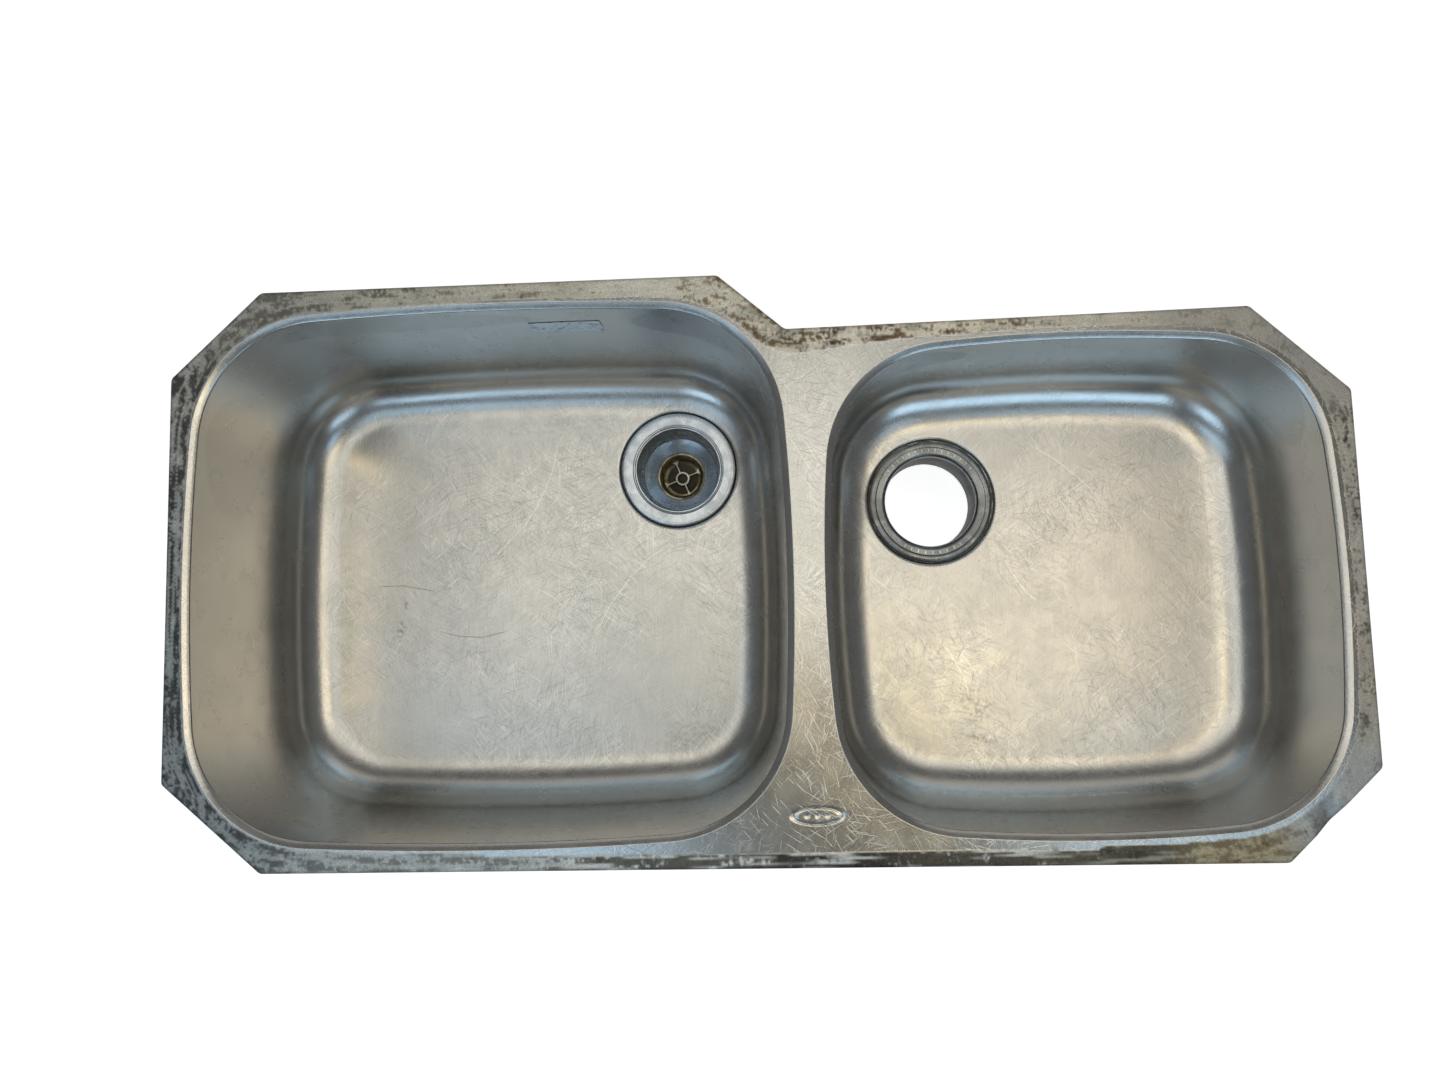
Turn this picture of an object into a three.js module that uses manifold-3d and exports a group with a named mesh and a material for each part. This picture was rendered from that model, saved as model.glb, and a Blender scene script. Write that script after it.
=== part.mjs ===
// Undermount stainless steel kitchen sink with an offset pair of bowls, a basket strainer body in
// the large bowl and the sink side of a food disposer's mount in the small one. Millimetres, +Z up.
// The origin is on the top face of the land between the bowls, halfway from front to back.

import * as THREE from "three";
import { mergeVertices } from "three/addons/utils/BufferGeometryUtils.js";
import Module from "manifold-3d";

const wasm = await Module();
wasm.setup();

// ---------------------------------------------------------------- driving dimensions

const SHEET = 1.2;             // stainless sheet, 18 gauge
const GAP = 0.3;               // clearance left between pieces that touch

// The deck: a narrow flange around both bowls, with its corners cut off.
const DECK = {
  left: -526,
  right: 435,
  front: [-235, -241.5],       // front edge at the large bowl's end and at the small bowl's end
  backLarge: 240,              // back edge behind the large bowl
  backSmall: [192.5, 197.5],   // back edge behind the small bowl, at the step and at the far end
  cutX: 75,                    // cut corners, along the width
  cutY: 71,                    // cut corners, along the depth
  cutXFrontLeft: 82,
  stepStart: -68,              // the slanted step between the two back edges
  stepEnd: -13.5,
};

// Each bowl's rim is a rectangle with round corners and sides that bulge slightly outward.
const LARGE = { x: -262.5, y: 1.6, halfX: 250.7, halfY: 222.6, corner: 106, bulge: 4, depth: 203 };
const SMALL = { x: 216.6, y: -20, halfX: 204.8, halfY: 202.1, corner: 102, bulge: 4, depth: 135 };

const RIM_WIDTH = 5.8;         // sloped band around each rim, inside the weld to the deck
const RIM_DROP = 3;
const WELD_LAND = 0.6;
const DRAFT = 0.034;           // inward lean of the walls, per unit of depth
const FLOOR_FILLET = 42;
const FILLET_STEPS = 5;

const CORNER_STEPS = 7;
const SIDE_STEPS = 3;
const ROUND_STEPS = 24;        // sides of every round drain piece

// Both drain holes are standard 3 1/2 inch holes in a shallow drawn recess.
const DRAIN_HOLE = 44.6;
const RECESS_RADIUS = 58.4;
const RECESS_DEPTH = 2.6;
const STRAINER_FLANGE = 57.15; // 4 1/2 inch
const DISPOSER_FLANGE = 56.2;
const ROLLED_EDGE = 3.6;       // each flange is rolled down over this width at its edge
const FLANGE_RISE = 0.5;
const THREAD = 42.9;           // outside of both threaded or plain sleeves

const STRAINER = { x: -119.5, y: 113.2 };
const DISPOSER = { x: 119.5, y: 64.5 };

// Radii, and depths below the flange's own level.
const STRAINER_CUP = {
  mouth: 43.3,
  mouthRound: 1,
  wall: 41.6,
  wallTop: 4,
  shoulder: 37.5,
  shoulderDepth: 33,
  outlet: 24.2,
  outletDepth: 42,
  outletLip: 2,
  threadEnd: 34,
  chamferWidth: 5,
  chamferDepth: 2,
};
const OUTLET = {
  bore: 19.4,
  outer: 23.8,
  collar: 27.5,
  collarHeight: 3,
  top: 48,
  seatWidth: 1,
  seatRise: 1.5,
  end: 76,
};
const SPIDER = { arms: 4, hubOuter: 7.4, hubInner: 5.3, armWidth: 2.4, height: 4, top: 58, turn: 22 };
const PLUG = { belowSpider: 2, aboveEnd: 1, wall: 4, roof: 5 };
const SLEEVE = { bore: 41.2, length: 41, grooveTop: 33, grooveDepth: 0.7, grooveWidth: 3.4 };
const BACKUP_SCREW = {
  count: 3,
  circle: 55.5,
  radius: 3,
  headRadius: 5.4,
  headHeight: 4,
  headBelowRing: 9,
  slotWidth: 1.4,
  slotDepth: 1.2,
  firstAngle: 90,
};

// ---------------------------------------------------------------- colours

const steel = new THREE.MeshStandardMaterial({ color: 0xb9b4a6, roughness: 0.38, metalness: 1 });
const drainSteel = new THREE.MeshStandardMaterial({ color: 0xa9adac, roughness: 0.3, metalness: 1 });
const zinc = new THREE.MeshStandardMaterial({ color: 0x9a9c98, roughness: 0.5, metalness: 1 });
const agedBrass = new THREE.MeshStandardMaterial({ color: 0x85724b, roughness: 0.5, metalness: 1 });
const putty = new THREE.MeshStandardMaterial({ color: 0x55504a, roughness: 0.8, metalness: 0 });
const rubber = new THREE.MeshStandardMaterial({ color: 0x222222, roughness: 0.85, metalness: 0 });
const brownRubber = new THREE.MeshStandardMaterial({ color: 0x4a4030, roughness: 0.8, metalness: 0 });
const fibre = new THREE.MeshStandardMaterial({ color: 0x6d3a2c, roughness: 0.9, metalness: 0 });
const padding = new THREE.MeshStandardMaterial({ color: 0x3a3a3c, roughness: 0.9, metalness: 0 });
const paper = new THREE.MeshStandardMaterial({ color: 0xd8dade, roughness: 0.6, metalness: 0 });

// ---------------------------------------------------------------- solids

function solid(geometry) {
  const bare = geometry.clone();
  bare.deleteAttribute("normal");
  bare.deleteAttribute("uv");
  const merged = mergeVertices(bare, 1e-3);
  return new wasm.Manifold(new wasm.Mesh({
    numProp: 3,
    vertProperties: Float32Array.from(merged.attributes.position.array),
    triVerts: Uint32Array.from(merged.index.array),
  }));
}

function piece(name, body, material, place = {}) {
  const cut = body.getMesh();
  const geometry = new THREE.BufferGeometry();
  geometry.setAttribute("position", new THREE.BufferAttribute(Float32Array.from(cut.vertProperties), 3));
  geometry.setIndex(new THREE.BufferAttribute(Uint32Array.from(cut.triVerts), 1));
  geometry.computeVertexNormals();
  const mesh = new THREE.Mesh(geometry, material);
  mesh.name = name;
  mesh.position.set(place.x ?? 0, place.y ?? 0, place.z ?? 0);
  return mesh;
}

function prism(outline, height, bottom) {
  const shape = new THREE.Shape(outline.map(([x, y]) => new THREE.Vector2(x, y)));
  const geometry = new THREE.ExtrudeGeometry(shape, { depth: height, bevelEnabled: false });
  return solid(geometry.translate(0, 0, bottom));
}

function plate(width, depth, height, x, y, bottom) {
  return solid(new THREE.BoxGeometry(width, depth, height).translate(x, y, bottom + height / 2));
}

function cone(topRadius, bottomRadius, top, bottom, x = 0, y = 0, sides = ROUND_STEPS) {
  const geometry = new THREE.CylinderGeometry(topRadius, bottomRadius, top - bottom, sides);
  return solid(geometry.rotateX(Math.PI / 2).translate(x, y, (top + bottom) / 2));
}

function disc(radius, top, bottom, x = 0, y = 0, sides = ROUND_STEPS) {
  return cone(radius, radius, top, bottom, x, y, sides);
}

// A turned piece from a closed profile of [radius, height], listed anticlockwise.
function turned(profile) {
  const points = [...profile, profile[0]].map(([radius, height]) => new THREE.Vector2(radius, height));
  return solid(new THREE.LatheGeometry(points, ROUND_STEPS).rotateX(Math.PI / 2));
}

function ring(inner, outer, top, bottom) {
  return turned([[inner, bottom], [outer, bottom], [outer, top], [inner, top]]);
}

function around(count, firstDegrees, make) {
  return Array.from({ length: count }, (_, index) => {
    const angle = THREE.MathUtils.degToRad(firstDegrees + (360 / count) * index);
    return make(angle, index);
  });
}

// ---------------------------------------------------------------- bowls

// Where the corner arc and the two side arcs of a rim meet, in the bowl's own quadrant.
function rimArcs(halfX, halfY, corner, bulge) {
  const runX = halfX - corner;
  const runY = halfY - corner;
  const backRadius = (runX * runX) / (2 * bulge) + bulge / 2;
  const sideRadius = (runY * runY) / (2 * bulge) + bulge / 2;
  const backCentre = new THREE.Vector2(0, halfY - backRadius);
  const sideCentre = new THREE.Vector2(halfX - sideRadius, 0);
  const reachBack = backRadius - corner;
  const reachSide = sideRadius - corner;
  const apart = backCentre.distanceTo(sideCentre);
  const along = (reachBack ** 2 - reachSide ** 2 + apart ** 2) / (2 * apart);
  const across = Math.sqrt(reachBack ** 2 - along ** 2);
  const direction = sideCentre.clone().sub(backCentre).divideScalar(apart);
  const cornerCentre = new THREE.Vector2(
    backCentre.x + direction.x * along + direction.y * across,
    backCentre.y + direction.y * along - direction.x * across,
  );
  const startAngle = Math.atan2(cornerCentre.y - sideCentre.y, cornerCentre.x - sideCentre.x);
  const endAngle = Math.atan2(cornerCentre.y - backCentre.y, cornerCentre.x - backCentre.x);
  return { backRadius, sideRadius, backCentre, sideCentre, cornerCentre, startAngle, endAngle };
}

function arcPoints(centre, radius, from, to, steps) {
  return Array.from({ length: steps }, (_, step) => {
    const angle = from + ((to - from) * (step + 1)) / steps;
    return [centre.x + radius * Math.cos(angle), centre.y + radius * Math.sin(angle)];
  });
}

// The bowl's rim outline moved inward by inset, anticlockwise.
function bowlOutline(bowl, inset) {
  const corner = bowl.corner - inset;
  const arcs = rimArcs(bowl.halfX - inset, bowl.halfY - inset, corner, bowl.bulge);
  const quarter = [
    ...arcPoints(arcs.sideCentre, arcs.sideRadius, 0, arcs.startAngle, SIDE_STEPS),
    ...arcPoints(arcs.cornerCentre, corner, arcs.startAngle, arcs.endAngle, CORNER_STEPS),
    ...arcPoints(arcs.backCentre, arcs.backRadius, arcs.endAngle, Math.PI / 2, SIDE_STEPS),
  ];
  const mirrored = quarter.slice(0, -1).reverse().map(([x, y]) => [-x, y]);
  const behind = [...quarter, ...mirrored];
  const inFront = behind.map(([x, y]) => [-x, -y]);
  const halfX = bowl.halfX - inset;
  const loop = [[halfX, 0], ...behind, [-halfX, 0], ...inFront];
  return loop.map(([x, y]) => [bowl.x + x, bowl.y + y]);
}

// A closed body through level outlines, listed from the bottom up.
function loft(levels) {
  const count = levels[0].outline.length;
  const positions = levels.flatMap(({ z, outline }) => outline.flatMap(([x, y]) => [x, y, z]));
  const indices = [];
  for (let level = 0; level < levels.length - 1; level++) {
    for (let point = 0; point < count; point++) {
      const a = level * count + point;
      const b = level * count + ((point + 1) % count);
      indices.push(a, b, b + count, a, b + count, a + count);
    }
  }
  const flat = levels[0].outline.map(([x, y]) => new THREE.Vector2(x, y));
  const top = (levels.length - 1) * count;
  for (const [a, b, c] of THREE.ShapeUtils.triangulateShape(flat, [])) {
    indices.push(a, c, b, top + a, top + b, top + c);
  }
  const geometry = new THREE.BufferGeometry();
  geometry.setAttribute("position", new THREE.Float32BufferAttribute(positions, 3));
  geometry.setIndex(indices);
  return solid(geometry);
}

// Inset of the flat floor's outline from the rim outline.
function floorInset(bowl) {
  const wallDepth = bowl.depth - FLOOR_FILLET - RIM_DROP;
  return RIM_WIDTH + wallDepth * DRAFT + FLOOR_FILLET;
}

// Floor, fillet and wall of a bowl's inner face, moved outward by the given thickness.
function bowlSides(bowl, thickness) {
  const inset = floorInset(bowl);
  const radius = FLOOR_FILLET + thickness;
  return Array.from({ length: FILLET_STEPS + 1 }, (_, step) => {
    const angle = (Math.PI / 2) * (step / FILLET_STEPS);
    return {
      z: -bowl.depth + FLOOR_FILLET - radius * Math.cos(angle),
      outline: bowlOutline(bowl, inset - radius * Math.sin(angle)),
    };
  });
}

function bowlCavity(bowl, drain) {
  const above = 1;
  const overFillet = 2;
  const inside = loft([
    ...bowlSides(bowl, 0),
    { z: -RIM_DROP, outline: bowlOutline(bowl, RIM_WIDTH) },
    { z: 0, outline: bowlOutline(bowl, WELD_LAND) },
    { z: above, outline: bowlOutline(bowl, WELD_LAND) },
  ]);
  const floor = -bowl.depth;
  const aboveFillet = floor + overFillet;
  const recess = cone(RECESS_RADIUS + 1, RECESS_RADIUS, aboveFillet, floor - RECESS_DEPTH, drain.x, drain.y);
  const hole = disc(DRAIN_HOLE, aboveFillet, floor - RECESS_DEPTH - 2 * SHEET, drain.x, drain.y);
  return inside.add(recess).add(hole);
}

function bowlOutside(bowl, drain) {
  const outside = loft([
    ...bowlSides(bowl, SHEET),
    { z: -RIM_DROP - SHEET, outline: bowlOutline(bowl, RIM_WIDTH - SHEET) },
    { z: -SHEET, outline: bowlOutline(bowl, 0) },
    { z: 0, outline: bowlOutline(bowl, 0) },
  ]);
  const floor = -bowl.depth;
  const recessOuter = RECESS_RADIUS + SHEET;
  const bottom = floor - RECESS_DEPTH - SHEET;
  return outside.add(cone(recessOuter + 1, recessOuter, floor - SHEET / 2, bottom, drain.x, drain.y));
}

// The flat floor with the drain's recess, as a column that reaches through the sheet.
function floorColumn(bowl, drain, growth) {
  const height = 2 * RECESS_DEPTH + 4 * SHEET;
  const bottom = -bowl.depth - height / 2;
  const flat = prism(bowlOutline(bowl, floorInset(bowl) - growth), height, bottom);
  const seat = disc(RECESS_RADIUS + 2 * SHEET + growth, bottom + height, bottom, drain.x, drain.y);
  return flat.add(seat);
}

// A drawn bowl as nine simple solids: its floor, four walls and four corners.
function bowlSections(name, bowl, drain) {
  const shell = bowlOutside(bowl, drain).subtract(bowlCavity(bowl, drain));
  const sides = shell.subtract(floorColumn(bowl, drain, GAP));
  const runX = bowl.halfX - bowl.corner;
  const runY = bowl.halfY - bowl.corner;
  const endX = bowl.halfX + SHEET;
  const endY = bowl.halfY + SHEET;
  const spanX = { left: [-endX, -runX], "": [-runX, runX], right: [runX, endX] };
  const spanY = { front: [-endY, -runY], "": [-runY, runY], back: [runY, endY] };
  const sections = [piece(`${name}_floor`, shell.intersect(floorColumn(bowl, drain, 0)), steel)];
  for (const [across, [left, right]] of Object.entries(spanX)) {
    for (const [along, [front, back]] of Object.entries(spanY)) {
      if (!across && !along) continue;
      const width = right - left - GAP;
      const depth = back - front - GAP;
      const x = bowl.x + (left + right) / 2;
      const y = bowl.y + (front + back) / 2;
      const bottom = -2 * bowl.depth;
      const block = plate(width, depth, 3 * bowl.depth, x, y, bottom);
      const kind = across && along ? "corner" : "wall";
      const place = [along, across].filter(Boolean).join("_");
      sections.push(piece(`${name}_${place}_${kind}`, sides.intersect(block), steel));
    }
  }
  return sections;
}

function frontEdge(x) {
  return THREE.MathUtils.mapLinear(x, DECK.left, DECK.right, DECK.front[0], DECK.front[1]);
}

function deckOutline() {
  const { left, right, cutX, cutY } = DECK;
  return [
    [right - cutX, frontEdge(right - cutX)],
    [right, DECK.front[1] + cutY],
    [right, DECK.backSmall[1] - cutY],
    [right - cutX, DECK.backSmall[1]],
    [DECK.stepEnd, DECK.backSmall[0]],
    [DECK.stepStart, DECK.backLarge],
    [left + cutX, DECK.backLarge],
    [left, DECK.backLarge - cutY],
    [left, DECK.front[0] + cutY],
    [left + DECK.cutXFrontLeft, frontEdge(left + DECK.cutXFrontLeft)],
  ];
}

function deck() {
  const opening = (bowl) => prism(bowlOutline(bowl, -GAP), 3 * SHEET, -2 * SHEET);
  return prism(deckOutline(), SHEET, -SHEET).subtract(opening(LARGE)).subtract(opening(SMALL));
}

function soundPad(bowl, left, right, front, back) {
  const thickness = 2.5;
  const corner = 18;
  const top = -bowl.depth - SHEET - GAP;
  const outline = [
    [left + corner, front],
    [right - corner, front],
    [right, front + corner],
    [right, back - corner],
    [right - corner, back],
    [left + corner, back],
    [left, back - corner],
    [left, front + corner],
  ];
  return prism(outline, thickness, top - thickness);
}

// A worn, blank sticker on the back wall of the large bowl, a little askew, clear of the wall's curve.
function blankLabel() {
  const width = 63;
  const height = 23;
  const thickness = 0.4;
  const depth = 46.5;
  const fromCentre = 60.7;
  const askew = -4.2;
  const wallRadius = rimArcs(LARGE.halfX, LARGE.halfY, LARGE.corner, LARGE.bulge).backRadius;
  const curveDrop = (fromCentre ** 2 + (width / 2) ** 2) / (2 * wallRadius);
  const wall = LARGE.y + LARGE.halfY - RIM_WIDTH - (depth - RIM_DROP) * DRAFT;
  const clearance = GAP + thickness / 2;
  const geometry = new THREE.BoxGeometry(width, thickness, height);
  geometry.rotateY(THREE.MathUtils.degToRad(askew));
  geometry.rotateX(-Math.atan(DRAFT));
  geometry.rotateZ(-fromCentre / wallRadius);
  geometry.translate(LARGE.x + fromCentre, wall - curveDrop - clearance, -depth);
  return solid(geometry);
}

// ---------------------------------------------------------------- basket strainer, at its flange level

const FLANGE_UNDERSIDE = -1;
const FLANGE_LIP = 0.2;

function flangeEdge(radius) {
  return [
    [radius - 1, FLANGE_UNDERSIDE],
    [radius, FLANGE_UNDERSIDE + FLANGE_LIP],
    [radius - ROLLED_EDGE, FLANGE_RISE],
  ];
}

function strainerBody() {
  const cup = STRAINER_CUP;
  return turned([
    [THREAD, FLANGE_UNDERSIDE],
    ...flangeEdge(STRAINER_FLANGE),
    [cup.mouth + cup.mouthRound, FLANGE_RISE],
    [cup.mouth, FLANGE_RISE - cup.mouthRound],
    [cup.wall, -cup.wallTop],
    [cup.shoulder, -cup.shoulderDepth],
    [cup.outlet, -cup.outletDepth],
    [cup.outlet, -cup.outletDepth - cup.outletLip],
    [THREAD - cup.chamferWidth, -cup.threadEnd - cup.chamferDepth],
    [THREAD, -cup.threadEnd],
  ]);
}

function strainerOutlet() {
  const collarBottom = -OUTLET.top - OUTLET.collarHeight;
  const seat = -OUTLET.top + OUTLET.seatRise;
  const nipple = turned([
    [OUTLET.bore, -OUTLET.end],
    [OUTLET.outer, -OUTLET.end],
    [OUTLET.outer, collarBottom],
    [OUTLET.collar, collarBottom],
    [OUTLET.collar, -OUTLET.top],
    [OUTLET.outer - OUTLET.seatWidth, seat],
    [OUTLET.bore + 2 * OUTLET.seatWidth, seat],
    [OUTLET.bore, -OUTLET.top - 2 * OUTLET.seatWidth],
  ]);
  const top = -SPIDER.top;
  const bottom = top - SPIDER.height;
  const hub = ring(SPIDER.hubInner, SPIDER.hubOuter, top, bottom);
  const start = (SPIDER.hubInner + SPIDER.hubOuter) / 2;
  const end = OUTLET.bore + OUTLET.seatWidth;
  const reach = end - start;
  const middle = (start + end) / 2;
  const arms = around(SPIDER.arms, SPIDER.turn, (angle) => {
    const arm = new THREE.BoxGeometry(reach, SPIDER.armWidth, SPIDER.height);
    return solid(arm.translate(middle, 0, (top + bottom) / 2).rotateZ(angle));
  });
  return arms.reduce((joined, arm) => joined.add(arm), nipple.add(hub));
}

function outletPlug() {
  const radius = OUTLET.bore - GAP;
  const top = -SPIDER.top - SPIDER.height - PLUG.belowSpider;
  const bottom = -OUTLET.end + PLUG.aboveEnd;
  return disc(radius, top, bottom).subtract(disc(radius - PLUG.wall, top - PLUG.roof, bottom - 1));
}

// Levels under the sink floor, from the strainer flange's or the disposer flange's floor level.
const UNDERSIDE = -RECESS_DEPTH - SHEET;
const GASKET_TOP = UNDERSIDE - GAP;

function puttyRing() {
  return ring(DRAIN_HOLE + 1, DISPOSER_FLANGE - 1, FLANGE_UNDERSIDE - GAP, -RECESS_DEPTH + GAP);
}

const STRAINER_GASKET = 3.2;
const FRICTION_RING_TOP = GASKET_TOP - STRAINER_GASKET - GAP;
const FRICTION_RING = 1.6;
const LOCKNUT_TOP = FRICTION_RING_TOP - FRICTION_RING - GAP;
const LOCKNUT = { height: 11, radius: 50, faceRadius: 56, faceHeight: 2.5, lugs: 6, firstLug: 15 };
const LUG = { length: 8, width: 9, circle: 53 };
const UNDER_BORE = THREAD + GAP;

function locknut() {
  const bottom = LOCKNUT_TOP - LOCKNUT.height;
  const body = ring(UNDER_BORE, LOCKNUT.radius, LOCKNUT_TOP, bottom);
  const washerFace = ring(UNDER_BORE, LOCKNUT.faceRadius, LOCKNUT_TOP, LOCKNUT_TOP - LOCKNUT.faceHeight);
  const lugs = around(LOCKNUT.lugs, LOCKNUT.firstLug, (angle) => {
    const lug = new THREE.BoxGeometry(LUG.length, LUG.width, LOCKNUT.height);
    return solid(lug.translate(LUG.circle, 0, LOCKNUT_TOP - LOCKNUT.height / 2).rotateZ(angle));
  });
  return lugs.reduce((joined, lug) => joined.add(lug), body.add(washerFace));
}

// ---------------------------------------------------------------- disposer mount, at its flange level

const FIBRE_GASKET = 2.6;
const BACKUP_TOP = GASKET_TOP - FIBRE_GASKET - GAP;
const BACKUP = { thickness: 3, web: 60, outer: 62, lipDepth: 2.5 };
const MOUNT_RING = {
  bottom: -SLEEVE.grooveTop,
  height: 9,
  collar: 51,
  track: 60,
  trackHeight: 3.5,
  ear: 7.5,
};
const SNAP_RING = { outer: 46.2, wire: 2.8, middle: 44, opening: 9, cut: 12 };
const SCREW_TIP = BACKUP_TOP - BACKUP.thickness - GAP;
const SCREW_HEAD_TOP = MOUNT_RING.bottom - BACKUP_SCREW.headBelowRing;
const EAR_STEPS = 16;
const SCREW_STEPS = 12;

// The sleeve's mouth, as (wider than the bore, height) from its edge down.
const MOUTH = [[2.4, FLANGE_RISE], [0.8, FLANGE_RISE - 1.4], [0.2, -5], [0, -9]];

function disposerFlange() {
  const groove = THREAD - SLEEVE.grooveDepth;
  const grooveBottom = -SLEEVE.grooveTop - SLEEVE.grooveWidth;
  return turned([
    [SLEEVE.bore, -SLEEVE.length],
    [THREAD, -SLEEVE.length],
    [THREAD, grooveBottom],
    [groove, grooveBottom],
    [groove, -SLEEVE.grooveTop],
    [THREAD, -SLEEVE.grooveTop],
    [THREAD, FLANGE_UNDERSIDE],
    ...flangeEdge(DISPOSER_FLANGE),
    ...MOUTH.map(([wider, height]) => [SLEEVE.bore + wider, height]),
  ]);
}

function backupFlange() {
  const bottom = BACKUP_TOP - BACKUP.thickness;
  const lip = bottom - BACKUP.lipDepth;
  return turned([
    [UNDER_BORE, bottom],
    [BACKUP.web, bottom],
    [BACKUP.web, lip],
    [BACKUP.outer, lip],
    [BACKUP.outer, BACKUP_TOP],
    [UNDER_BORE, BACKUP_TOP],
  ]);
}

function screwPlaces() {
  return around(BACKUP_SCREW.count, BACKUP_SCREW.firstAngle, (angle) => (
    [BACKUP_SCREW.circle * Math.cos(angle), BACKUP_SCREW.circle * Math.sin(angle)]
  ));
}

function mountingRing() {
  const bottom = MOUNT_RING.bottom;
  const top = bottom + MOUNT_RING.height;
  const collar = ring(UNDER_BORE, MOUNT_RING.collar, top, bottom);
  const track = ring(UNDER_BORE, MOUNT_RING.track, bottom + MOUNT_RING.trackHeight, bottom);
  let body = collar.add(track);
  for (const [x, y] of screwPlaces()) {
    body = body.add(disc(MOUNT_RING.ear, top, bottom, x, y, EAR_STEPS));
  }
  for (const [x, y] of screwPlaces()) {
    body = body.subtract(disc(BACKUP_SCREW.radius + GAP, top + 1, bottom - 1, x, y, SCREW_STEPS));
  }
  return body;
}

function snapRing() {
  const top = MOUNT_RING.bottom - GAP;
  const inner = THREAD - SLEEVE.grooveDepth + GAP;
  const closed = ring(inner, SNAP_RING.outer, top, top - SNAP_RING.wire);
  const height = 3 * SNAP_RING.wire;
  const cut = plate(SNAP_RING.cut, SNAP_RING.opening, height, SNAP_RING.middle, 0, top - 2 * SNAP_RING.wire);
  return closed.subtract(cut);
}

function backupScrew() {
  const { radius, headRadius, headHeight, slotWidth, slotDepth } = BACKUP_SCREW;
  const headBottom = SCREW_HEAD_TOP - headHeight;
  const shank = disc(radius, SCREW_TIP, headBottom + 1, 0, 0, SCREW_STEPS);
  const head = disc(headRadius, SCREW_HEAD_TOP, headBottom, 0, 0, 6);
  const slot = plate(3 * headRadius, slotWidth, 2 * slotDepth, 0, 0, headBottom - slotDepth);
  return shank.add(head).subtract(slot);
}

// ---------------------------------------------------------------- the whole sink

const large = { ...STRAINER, z: -LARGE.depth };
const small = { ...DISPOSER, z: -SMALL.depth };

// Outer radii of the seals under the floors, and where the sound pads lie.
const GASKET_RADIUS = 57.5;
const FRICTION_RADIUS = 56.5;
const FIBRE_RADIUS = 60;
const LARGE_PAD = [-440, -200, -140, 140];
const SMALL_PAD = [200, 350, -150, 110];

const strainerGasket = ring(UNDER_BORE, GASKET_RADIUS, GASKET_TOP, GASKET_TOP - STRAINER_GASKET);
const frictionRing = ring(UNDER_BORE, FRICTION_RADIUS, FRICTION_RING_TOP, FRICTION_RING_TOP - FRICTION_RING);
const fibreGasket = ring(UNDER_BORE, FIBRE_RADIUS, GASKET_TOP, GASKET_TOP - FIBRE_GASKET);

const sink = new THREE.Group();
sink.add(
  piece("deck", deck(), steel),
  ...bowlSections("large_bowl", LARGE, STRAINER),
  ...bowlSections("small_bowl", SMALL, DISPOSER),
  piece("large_bowl_sound_pad", soundPad(LARGE, ...LARGE_PAD), padding),
  piece("small_bowl_sound_pad", soundPad(SMALL, ...SMALL_PAD), padding),
  piece("blank_label", blankLabel(), paper),
  piece("strainer_body", strainerBody(), drainSteel, large),
  piece("strainer_outlet", strainerOutlet(), agedBrass, large),
  piece("outlet_plug", outletPlug(), brownRubber, large),
  piece("strainer_putty", puttyRing(), putty, large),
  piece("strainer_gasket", strainerGasket, rubber, large),
  piece("strainer_friction_ring", frictionRing, fibre, large),
  piece("strainer_locknut", locknut(), zinc, large),
  piece("disposer_sink_flange", disposerFlange(), drainSteel, small),
  piece("disposer_putty", puttyRing(), putty, small),
  piece("disposer_fibre_gasket", fibreGasket, fibre, small),
  piece("disposer_backup_flange", backupFlange(), zinc, small),
  piece("disposer_mounting_ring", mountingRing(), zinc, small),
  piece("disposer_snap_ring", snapRing(), drainSteel, small),
);
screwPlaces().forEach(([x, y], index) => {
  const place = { x: DISPOSER.x + x, y: DISPOSER.y + y, z: -SMALL.depth };
  sink.add(piece(`backup_screw_${index + 1}`, backupScrew(), zinc, place));
});

export default sink;
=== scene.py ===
"""Looks for an undermount double-bowl kitchen sink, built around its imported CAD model.

Every length below is in metres unless its name or comment says otherwise, in the CAD model's frame:
the origin is on the deck's top face between the bowls, +X is the sink's width and +Z is up.
"""

import math

import bmesh
import bpy
from mathutils import Matrix, Vector, noise
from mathutils.geometry import delaunay_2d_cdt


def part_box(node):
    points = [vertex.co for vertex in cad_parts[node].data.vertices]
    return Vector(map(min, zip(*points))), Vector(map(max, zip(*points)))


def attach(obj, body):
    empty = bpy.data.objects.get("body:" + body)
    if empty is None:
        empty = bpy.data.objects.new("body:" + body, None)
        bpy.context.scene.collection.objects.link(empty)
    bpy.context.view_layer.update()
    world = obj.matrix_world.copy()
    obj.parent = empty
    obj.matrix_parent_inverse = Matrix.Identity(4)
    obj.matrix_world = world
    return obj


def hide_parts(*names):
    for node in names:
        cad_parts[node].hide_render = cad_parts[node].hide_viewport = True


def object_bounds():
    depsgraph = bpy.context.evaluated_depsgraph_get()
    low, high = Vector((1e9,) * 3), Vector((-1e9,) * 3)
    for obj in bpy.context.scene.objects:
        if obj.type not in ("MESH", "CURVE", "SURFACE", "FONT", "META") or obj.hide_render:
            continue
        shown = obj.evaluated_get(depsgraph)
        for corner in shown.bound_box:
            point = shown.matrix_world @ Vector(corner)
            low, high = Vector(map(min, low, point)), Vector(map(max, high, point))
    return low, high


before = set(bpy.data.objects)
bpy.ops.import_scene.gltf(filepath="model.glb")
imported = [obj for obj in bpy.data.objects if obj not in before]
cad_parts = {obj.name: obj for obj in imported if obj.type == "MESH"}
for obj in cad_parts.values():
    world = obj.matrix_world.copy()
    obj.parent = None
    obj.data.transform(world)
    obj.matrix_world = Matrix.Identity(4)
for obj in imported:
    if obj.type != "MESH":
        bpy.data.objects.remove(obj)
CAD_BOX = [list(corner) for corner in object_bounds()]

# ---------------------------------------------------------------- driving sizes, as in the CAD model

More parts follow.
